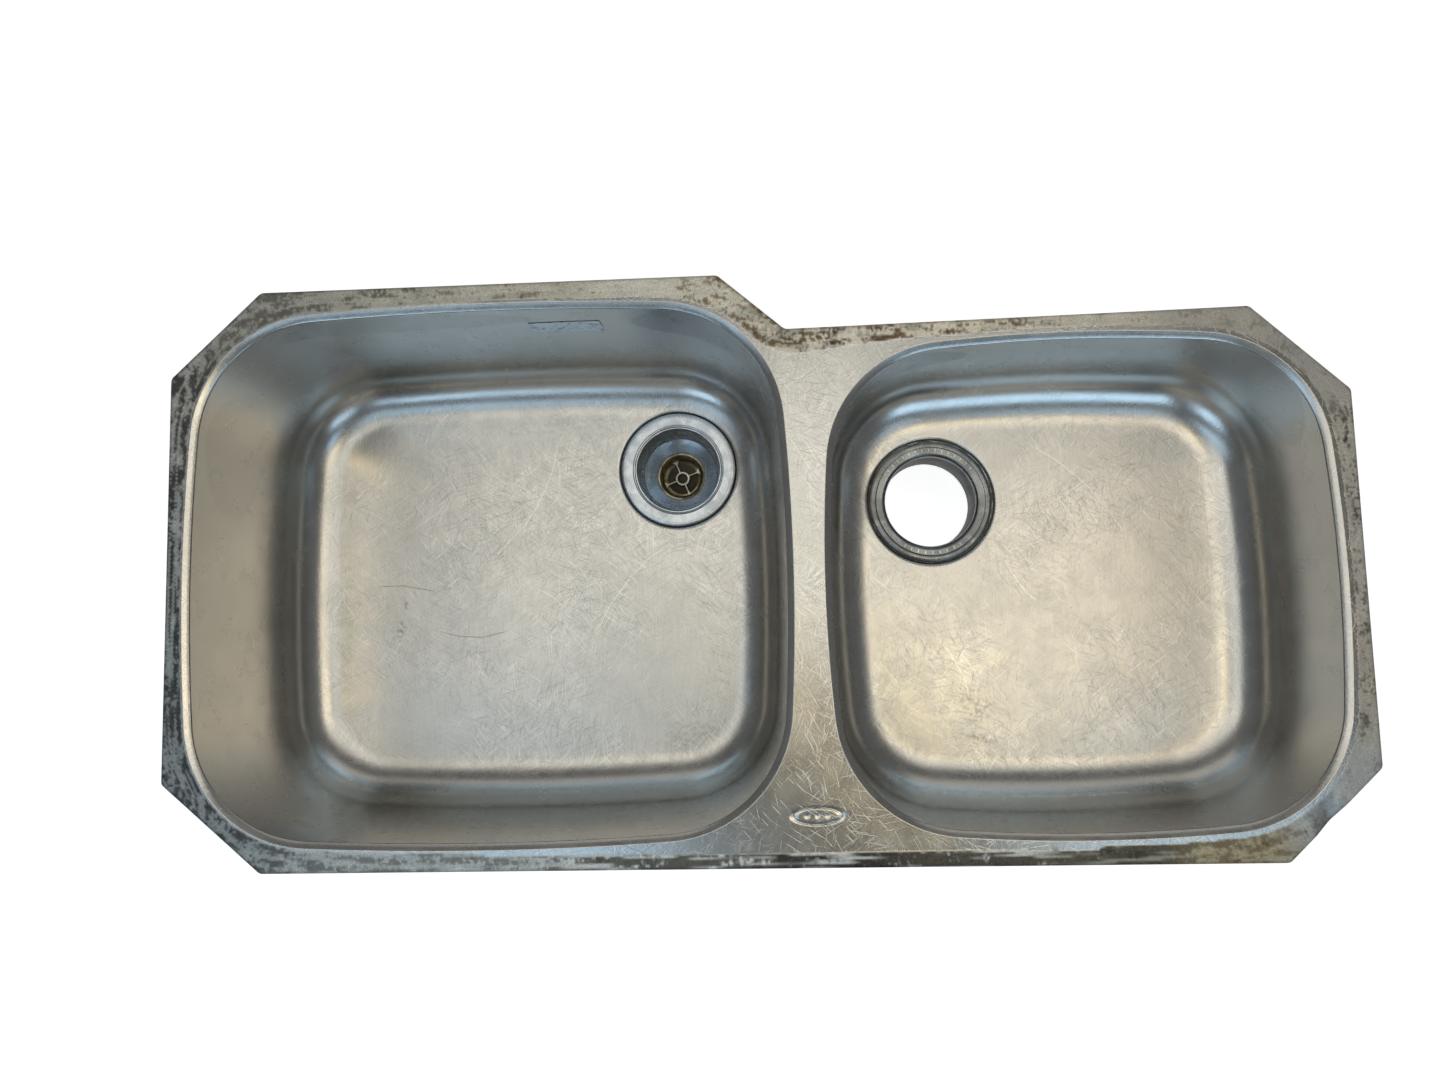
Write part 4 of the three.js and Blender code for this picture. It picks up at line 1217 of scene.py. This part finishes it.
def worn_label():
    """The blank sticker on the back wall, askew, on the wall's curve, with a lifted corner."""
    width, height, thick = 63 * MM, 23 * MM, 0.12 * MM
    down, off, askew = 46.5 * MM, 60.7 * MM, math.radians(-4.2)
    centre, radius, _, _ = rim_arcs(LARGE)["back"]
    across, along = 44, 24
    points = []
    for layer in (0, 1):
        for row in range(along + 1):
            for column in range(across + 1):
                u, v = column / across, row / along
                flat_x, flat_z = (u - 0.5) * width, (0.5 - v) * height
                x = off + flat_x * math.cos(askew) + flat_z * math.sin(askew)
                z = -down + flat_z * math.cos(askew) - flat_x * math.sin(askew)
                inset = RIM_WIDTH + (-z - RIM_DROP) * DRAFT
                lift = 2.2 * MM * smooth(0.88, 1.0, u) * smooth(0.75, 1.0, v)
                lift += 0.35 * MM + 0.12 * MM * (1 + wander(x, z, 0.008, 3.1))
                y = centre.y + math.sqrt((radius - inset) ** 2 - x * x) - lift - layer * thick
                points.append((LARGE["x"] + x, LARGE["y"] + y, z))
    row_size = across + 1
    size = row_size * (along + 1)
    faces = []
    for row in range(along):
        for column in range(across):
            a = row * row_size + column
            quad = (a, a + 1, a + row_size + 1, a + row_size)
            faces += [quad, tuple(size + index for index in reversed(quad))]
    border = list(range(across))
    border += [row * row_size + across for row in range(along)]
    border += [along * row_size + across - column for column in range(across)]
    border += [(along - row) * row_size for row in range(along)]
    for index, here in enumerate(border):
        after = border[(index + 1) % len(border)]
        faces.append((here, after, size + after, size + here))
    return piece("worn_label", points, faces, LABEL, replaces=("blank_label",), slot="label_film", crease=60)


def sound_pad(name, node_name):
    """A bitumen pad with soft edges and an uneven underside."""
    low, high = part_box(node_name)
    outline = rounded_box(low.x / MM, high.x / MM, low.y / MM, high.y / MM, 18)
    solid = Solid((0, 0, 0))
    top, bottom = high.z / MM + 0.25, low.z / MM
    middle = Vector(((low.x + high.x) / 2 / MM, (low.y + high.y) / 2 / MM))
    rings = []
    for share in (0.02, 0.2, 0.4, 0.6, 0.75, 0.88, 0.95, 0.985):
        loop = []
        for x, y in outline:
            spot = middle.lerp(Vector((x, y)), share)
            sag = 0.35 * (1 + wander(spot.x, spot.y, 14, 2.0)) * 0.5
            loop.append((spot.x, spot.y, bottom + sag))
        rings.append(loop)
    rings.append([(x, y, bottom + 0.7) for x, y in outline])
    rings.append([(x, y, top) for x, y in outline])
    rings.append([(*middle.lerp(Vector((x, y)), 0.985), top) for x, y in outline])
    solid.sweep(rings, False)
    return solid.finish(name, PADDING, replaces=(node_name,), slot="sound_padding")


# ---------------------------------------------------------------- basket strainer


def flange_top(radius, flat_to, rise=0.5):
    """The outer edge of a drain flange: underside, rolled edge and flat ring."""
    steps = 8
    rolled = []
    for step in range(steps + 1):
        angle = math.pi / 2 * step / steps
        rolled.append((flat_to + (radius - flat_to) * math.cos(angle),
                       -0.75 + (0.75 + rise) * math.sin(angle)))
    return [(radius - 1.0, -1.0), (radius - 0.2, -0.98)] + rolled


def strainer_body():
    solid = Solid(STRAINER_CENTRE)
    profile = [(42.0, -1.0)] + flange_top(57.1, 53.5)
    profile += [(49.5, 0.46), (45.6, 0.42), (45.3, 0.22), (45.0, 0.42), (44.3, 0.40), (43.6, 0.15),
                (43.2, -0.4), (42.9, -1.0), (42.4, -1.3), (42.1, -1.9), (41.9, -3.0), (41.6, -4.5),
                (41.2, -8), (40.2, -16), (39.0, -24), (38.0, -30.5), (37.5, -32.4), (36.6, -33.2),
                (35.4, -33.8), (31.0, -37.2), (26.6, -40.6), (25.2, -41.6), (24.5, -42.4),
                (24.3, -43.2), (24.4, -43.9), (26.0, -44.0), (35.5, -37.8), (38.5, -36.0),
                (41.0, -34.9), (42.0, -33.6)]
    solid.turn(profile, 144)
    solid.helix(42.0, 42.8, 25.4 / 12, -3.4, -33.0, steps_per_turn=64)
    return solid.finish("strainer_body_cup", STRAINER_STEEL, replaces=("strainer_body",), slot="drain_steel")


def strainer_outlet():
    """The threaded outlet below the strainer's cup."""
    solid = Solid(STRAINER_CENTRE)
    profile = rounded([(19.4, -76), (23.0, -76), (23.0, -51.5), (27.5, -50.8), (27.5, -47.2),
                       (26.2, -44.1), (22.6, -44.1), (20.6, -47.5), (19.4, -50.5)], 0.5)
    solid.turn(profile, 96)
    solid.helix(23.0, 23.75, 25.4 / 11.5, -53.5, -74.5, steps_per_turn=56)
    solid.turn([(16.2, -62.6), (19.6, -62.6), (19.6, -63.2), (16.2, -63.2)], 72)
    return solid.finish("strainer_outlet_nipple", BRASS, replaces=("strainer_outlet",), slot="aged_brass")


def spider():
    """The four-armed guard in the outlet: a short tube and thin arms with flared ends."""
    solid = Solid(STRAINER_CENTRE)
    solid.turn(rounded([(5.3, -62), (7.3, -62), (7.3, -58), (5.3, -58)], 0.4), 56)
    for turn in (22, 112, 202, 292):
        ahead = Matrix.Rotation(math.radians(turn), 2)
        half = [(6.9, 0.75), (12, 0.62), (15.6, 0.7), (17.2, 1.5), (18.4, 3.2), (19.35, 3.9)]
        outline = [(x, -w) for x, w in half] + [(x, w) for x, w in reversed(half)]
        turned = [tuple(ahead @ Vector(spot)) for spot in outline]
        solid.prism(turned, -58.1, -61.6, 0.15)
    return solid.finish("strainer_spider", SPIDER_METAL, slot="aged_brass")


def outlet_plug():
    """The rubber plug pushed up the outlet, with a raised rim and a dished top."""
    solid = Solid(STRAINER_CENTRE)
    profile = [(0.05, -64.6), (5, -64.7), (10, -65.0), (13.2, -65.2), (14.4, -64.6), (16.4, -64.1),
               (18.2, -64.3), (19.0, -65.2), (19.1, -67), (18.7, -67.8), (19.1, -68.6), (19.1, -71),
               (18.7, -71.8), (19.1, -72.6), (19.0, -74.4), (18.4, -75), (15.4, -75), (15.0, -74),
               (15.0, -70), (14.0, -69.2), (0.05, -69.0)]
    solid.turn(profile, 72)
    return solid.finish("outlet_rubber_plug", BROWN_RUBBER, body="plug", replaces=("outlet_plug",),
                        slot="brown_rubber")


def squeezed(seed):
    """Makes a ring's outer edge uneven, as squeezed putty is."""
    def wobble(radius, height, angle):
        if radius > 50:
            radius += 0.5 * wander(math.cos(angle), math.sin(angle), 0.16, seed)
        return radius, height
    return wobble


def putty_ring(name, centre, node_name, seed):
    solid = Solid(centre)
    solid.turn(rounded([(45.6, -2.5), (56.6, -2.5), (56.8, -1.9), (56.2, -1.1),
                        (45.6, -1.1)], 0.3), 144,
               wobble=squeezed(seed))
    return solid.finish(name, PUTTY, replaces=(node_name,), slot="putty")


def plain_ring(name, centre, profile, radius, look, **options):
    """A ring turned from a closed profile with rounded corners."""
    solid = Solid(centre)
    solid.turn(rounded(profile, radius), 112)
    return solid.finish(name, look, **options)


def strainer_gasket():
    profile = [(43.2, -7.3), (56.6, -7.3), (57.5, -6.4), (57.5, -5.0), (56.6, -3.9), (43.2, -3.9)]
    return plain_ring("strainer_rubber_gasket", STRAINER_CENTRE, profile, 0.5, BLACK_RUBBER,
                      replaces=("strainer_gasket",), slot="black_rubber")


def friction_ring():
    profile = [(43.4, -9.2), (56.5, -9.2), (56.5, -7.6), (43.4, -7.6)]
    return plain_ring("strainer_fibre_friction_ring", STRAINER_CENTRE, profile, 0.2, RED_FIBRE,
                      body="friction_ring", replaces=("strainer_friction_ring",), slot="red_fibre")


def locknut():
    """The large slotted-lug nut that clamps the strainer: a threaded ring with six lugs."""
    solid = Solid(STRAINER_CENTRE)
    profile = rounded([(43.9, -20.4), (49.6, -20.4), (50.0, -13.5), (51.5, -12.2), (56.0, -11.9),
                       (56.0, -9.5), (43.9, -9.5)], 0.5)
    solid.turn(profile, 120)
    solid.helix(43.9, 43.25, 25.4 / 12, -10.4, -19.6, steps_per_turn=64)
    for index in range(6):
        ahead = Matrix.Rotation(math.radians(15 + 60 * index), 2)
        outline = [(49.2, -4.8), (55.6, -3.6), (56.9, -2.4), (56.9, 2.4), (55.6, 3.6), (49.2, 4.8)]
        solid.prism([tuple(ahead @ Vector(spot)) for spot in outline], -11.6, -20.3, 0.5)
    return solid.finish("strainer_lugged_locknut", ZINC, body="locknut", replaces=("strainer_locknut",),
                        slot="dull_metal")


# ---------------------------------------------------------------- food disposer's sink flange and mount


def disposer_flange():
    """The sink flange: rolled edge, flat ring, rounded mouth and grooved sleeve; its plain tick marks are the
    piece that tick_marks makes.
    """
    solid = Solid(DISPOSER_CENTRE)
    profile = [(42.8, -1.0)] + flange_top(56.1, 52.4)
    profile += [(50.6, 0.44), (50.3, 0.25), (50.0, 0.44), (46.0, 0.40), (44.6, 0.28), (43.4, -0.15),
                (42.5, -0.9), (41.9, -2.0), (41.6, -3.6), (41.4, -6), (41.25, -10), (41.2, -20),
                (41.2, -40.4), (41.4, -41.0), (42.5, -41.0), (42.8, -40.6), (42.8, -36.5),
                (42.2, -36.4), (42.1, -33.2), (42.8, -33.0)]
    solid.turn(profile, 144)
    return solid.finish("disposer_flange_ring", FLANGE_STEEL, replaces=("disposer_sink_flange",),
                        slot="drain_steel")


def tick_marks():
    """Plain raised ticks, worn bright, in two arcs on the disposer's flange."""
    solid = Solid(DISPOSER_CENTRE)
    tick_arcs = ((38, 142, 15), (238, 302, 9))
    for first, last, count in tick_arcs:
        for index in range(count):
            turn = math.radians(lerp(first, last, index / (count - 1)))
            ahead = Matrix.Rotation(turn, 2)
            outline = [(46.4, -0.6), (49.3, -0.6), (49.3, 0.6), (46.4, 0.6)]
            solid.prism([tuple(ahead @ Vector(spot)) for spot in outline], 0.64, 0.2, 0.14)
    return solid.finish("disposer_flange_ticks", TICK_STEEL, slot="drain_steel")


def fibre_gasket():
    profile = [(43.2, -6.7), (60, -6.7), (60, -3.9), (43.2, -3.9)]
    return plain_ring("disposer_red_gasket", DISPOSER_CENTRE, profile, 0.3, RED_FIBRE,
                      replaces=("disposer_fibre_gasket",), slot="red_fibre")


def backup_flange():
    """The pressed ring that the screws push up: a flat web with a bead and a turned-down lip."""
    solid = Solid(DISPOSER_CENTRE)
    profile = rounded([(43.2, -9.6), (48.5, -9.6), (50.0, -8.9), (52.5, -8.9), (53.6, -9.9),
                       (60.0, -10), (60.2, -12.5), (62, -12.5), (62, -8.2), (61, -7),
                       (43.2, -7)], 0.35)
    solid.turn(profile, 128)
    return solid.finish("disposer_pressed_backup_flange", ZINC, body="backup_flange",
                        replaces=("disposer_backup_flange",), slot="dull_metal")


def screw_centres():
    return [(SCREW_CIRCLE * math.cos(math.radians(a)), SCREW_CIRCLE * math.sin(math.radians(a)))
            for a in SCREW_ANGLES]


def mounting_ring():
    """The upper mounting ring: collar, track with three ramps, and three tapped ears."""
    solid = Solid(DISPOSER_CENTRE)
    solid.turn(rounded([(43.3, -33), (59.6, -33), (60, -31), (59.4, -29.6), (51.6, -29.2), (51, -28),
                        (50.6, -24), (43.3, -24)], 0.6), 128)
    for x, y in screw_centres():
        ear = Solid(DISPOSER_CENTRE)
        ear.turn(rounded([(3.35, -32.9), (7.4, -32.9), (7.2, -24.2), (3.35, -24.0)], 0.5), 36)
        shift = Vector((x, y, 0)) * MM
        base = len(solid.points)
        solid.points += [point + shift for point in ear.points]
        solid.faces += [tuple(base + index for index in face) for face in ear.faces]
    for angle in SCREW_ANGLES:
        sections = []
        steps = 36
        for step in range(steps + 1):
            share = step / steps
            turn = math.radians(angle + 16 + 78 * share)
            drop = lerp(0.4, 2.4, share)
            corners = ((55.4, -32.6), (59.8, -32.6), (59.8, -33 - drop), (55.4, -33 - drop * 0.8))
            sections.append([(r * math.cos(turn), r * math.sin(turn), z) for r, z in corners])
        solid.sweep(sections, False)
    return solid.finish("disposer_ramped_mounting_ring", CAST_ZINC, replaces=("disposer_mounting_ring",),
                        slot="dull_metal")


def snap_ring():
    """The round-wire ring in the sleeve's groove, open toward +X."""
    solid = Solid(DISPOSER_CENTRE)
    wire, radius, height, opening = 1.35, 44.1, -34.7, 7.0
    steps, around = 150, 14
    sections = []
    for step in range(steps + 1):
        angle = math.radians(lerp(opening, 360 - opening, step / steps))
        section = []
        for corner in range(around):
            turn = math.tau * corner / around
            reach = radius + wire * math.cos(turn)
            section.append((reach * math.cos(angle), reach * math.sin(angle), height + wire * math.sin(turn)))
        sections.append(section)
    solid.sweep(sections, False)
    return solid.finish("disposer_wire_snap_ring", SPRING_STEEL, replaces=("disposer_snap_ring",),
                        slot="drain_steel")


def backup_screw(index):
    """A slotted hexagon-head screw; its tip pushes the backup flange up."""
    x, y = screw_centres()[index]
    centre = (DISPOSER_CENTRE[0] + x * MM, DISPOSER_CENTRE[1] + y * MM, DISPOSER_CENTRE[2])
    solid = Solid(centre)
    solid.turn([(0.02, -10.3), (1.6, -10.3), (2.45, -11.4), (2.5, -12), (2.5, -41.0), (3.0, -41.9),
                (3.0, -42.2), (0.02, -42.2)], 24)
    solid.helix(2.5, 2.98, 1.27, -12.2, -40.5, steps_per_turn=24)
    solid.turn(rounded([(0.02, -42.0), (5.3, -42.0), (5.3, -42.8), (0.02, -42.8)], 0.25), 36)
    hexagon = circle(5.3, 6, start=math.radians(10 * index))
    top, slot_floor, bottom = -42.7, -44.6, -46.0
    solid.prism(hexagon, top, slot_floor, 0.25)
    slot_half = 0.65
    turn = Matrix.Rotation(math.radians(35 * index), 2)
    for side in (1, -1):
        cheek = [(4.7, slot_half), (3.4, 3.4), (0, 4.75), (-3.4, 3.4), (-4.7, slot_half)]
        outline = [tuple(turn @ Vector((px * side, py * side))) for px, py in cheek]
        solid.prism(outline, slot_floor + 0.1, bottom, 0.2)
    return solid.finish(f"disposer_backup_screw_{index + 1}", ZINC, body=f"screw_{index + 1}",
                        replaces=(f"backup_screw_{index + 1}",), slot="dull_metal")


# ---------------------------------------------------------------- stage, lights and camera

CAMERA_PLACE = (-34.5 * MM, -67.5 * MM, 868 * MM)
CAMERA_TURN = (5.6158, 2.4123, -1.4589)
CAMERA_LENS = 27.03
CAMERA_SENSOR = 36


def add_camera():
    data = bpy.data.cameras.new("camera")
    data.lens = CAMERA_LENS
    data.sensor_width = CAMERA_SENSOR
    data.clip_start = 0.01
    made = bpy.data.objects.new("camera", data)
    made.location = CAMERA_PLACE
    made.rotation_euler = [math.radians(turn) for turn in CAMERA_TURN]
    bpy.context.scene.collection.objects.link(made)
    bpy.context.scene.camera = made


def add_stage():
    """A plain pale floor, low enough that the plug stays clear of it when it is pulled out."""
    low = CAD_BOX[0][2] - 20 * MM
    half, steps = 8.0, 8
    grid = [(lerp(-half, half, column / steps), lerp(-half, half, row / steps), low)
            for row in range(steps + 1) for column in range(steps + 1)]
    faces = [(row * (steps + 1) + column, row * (steps + 1) + column + 1,
              (row + 1) * (steps + 1) + column + 1, (row + 1) * (steps + 1) + column)
             for row in range(steps) for column in range(steps)]
    made, _, shader = new_material("pale_floor", roughness=0.9)
    shader.inputs["Base Color"].default_value = (0.92, 0.92, 0.92, 1)
    shader.inputs["Emission Color"].default_value = (1, 1, 1, 1)
    shader.inputs["Emission Strength"].default_value = 0.72
    mesh = bpy.data.meshes.new("floor")
    mesh.from_pydata(grid, [], faces)
    mesh.materials.append(made)
    floor = bpy.data.objects.new("floor", mesh)
    bpy.context.scene.collection.objects.link(floor)


def lamp(name, place_at, aim, size, radiance, color):
    """A rectangular lamp, as bright per square metre as asked."""
    data = bpy.data.lights.new(name, "AREA")
    data.shape = "RECTANGLE"
    data.size, data.size_y = size
    data.energy = radiance * math.pi * size[0] * size[1]
    data.color = color
    made = bpy.data.objects.new(name, data)
    made.location = place_at
    made.rotation_euler = (Vector(aim) - Vector(place_at)).to_track_quat("-Z", "Y").to_euler()
    bpy.context.scene.collection.objects.link(made)


CEILING_WHITE = (1.0, 0.98, 0.90)
COOL = (0.50, 0.75, 1.0)
# The ceiling and the windows leave the middle of the front dark, where someone stands at the sink.
CEILING = (
    ("ceiling", -0.08, 0.42, (2.5, 1.0)),
    ("ceiling_left", -0.79, -0.23, (1.08, 0.30)),
    ("ceiling_right", 0.80, -0.23, (0.74, 0.30)),
)
WINDOWS = (
    ("window_left", -1.55, 1.3, 1.75),
    ("window_middle", -0.68, 0.44, 0.95),
    ("window_right", 1.0, 1.3, 1.7),
)


def add_lights():
    world = bpy.data.worlds.new("soft_studio")
    world.use_nodes = True
    background = world.node_tree.nodes["Background"]
    background.inputs["Color"].default_value = (0.93, 0.97, 1.0, 1)
    background.inputs["Strength"].default_value = 0.12
    bpy.context.scene.world = world
    for name, x, y, size in CEILING:
        lamp(name, (x, y, 2.4), (x, y, 0), size, 1.05, CEILING_WHITE)
    lamp("warm_lamp", (0.44, -0.24, 2.2), (0.44, -0.24, 0), (0.36, 0.34), 3.3, (1.0, 0.80, 0.42))
    lamp("warm_side", (1.05, -0.02, 2.3), (1.05, -0.02, 0), (0.42, 0.80), 1.2, (1.0, 0.78, 0.50))
    lamp("cool_left", (-1.20, -0.85, 2.0), (-1.20, -0.85, 0), (1.80, 0.80), 1.05, COOL)
    lamp("cool_right", (1.10, -0.85, 2.0), (1.10, -0.85, 0), (0.90, 0.80), 1.0, COOL)
    for name, x, width, radiance in WINDOWS:
        lamp(name, (x, -2.0, 1.0), (x, 0, 0), (width, 1.0), radiance, COOL)
    lamp("back_fill", (0.1, 2.2, 1.0), (0, 0, 0), (3.0, 1.2), 0.37, (1.0, 0.95, 0.87))
    bpy.context.scene.view_settings.view_transform = "Standard"


# ---------------------------------------------------------------- the whole model


def bowl_nodes(name):
    """The CAD nodes of one bowl: a floor, four walls and four corners."""
    return [node_name for node_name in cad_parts
            if node_name.startswith(name + "_") and not node_name.endswith("_pad")]


def build():
    add_camera()
    add_stage()
    add_lights()
    bowl_shell("large_bowl_shell", LARGE, STRAINER_CENTRE, bowl_nodes("large_bowl"))
    bowl_shell("small_bowl_shell", SMALL, DISPOSER_CENTRE, bowl_nodes("small_bowl"))
    deck_sheet()
    worn_label()
    sound_pad("large_bowl_pad", "large_bowl_sound_pad")
    sound_pad("small_bowl_pad", "small_bowl_sound_pad")
    strainer_body()
    strainer_outlet()
    spider()
    outlet_plug()
    putty_ring("strainer_squeezed_putty", STRAINER_CENTRE, "strainer_putty", 1.3)
    strainer_gasket()
    friction_ring()
    locknut()
    disposer_flange()
    tick_marks()
    putty_ring("disposer_squeezed_putty", DISPOSER_CENTRE, "disposer_putty", 5.9)
    fibre_gasket()
    backup_flange()
    mounting_ring()
    snap_ring()
    for index in range(len(SCREW_ANGLES)):
        backup_screw(index)


build()
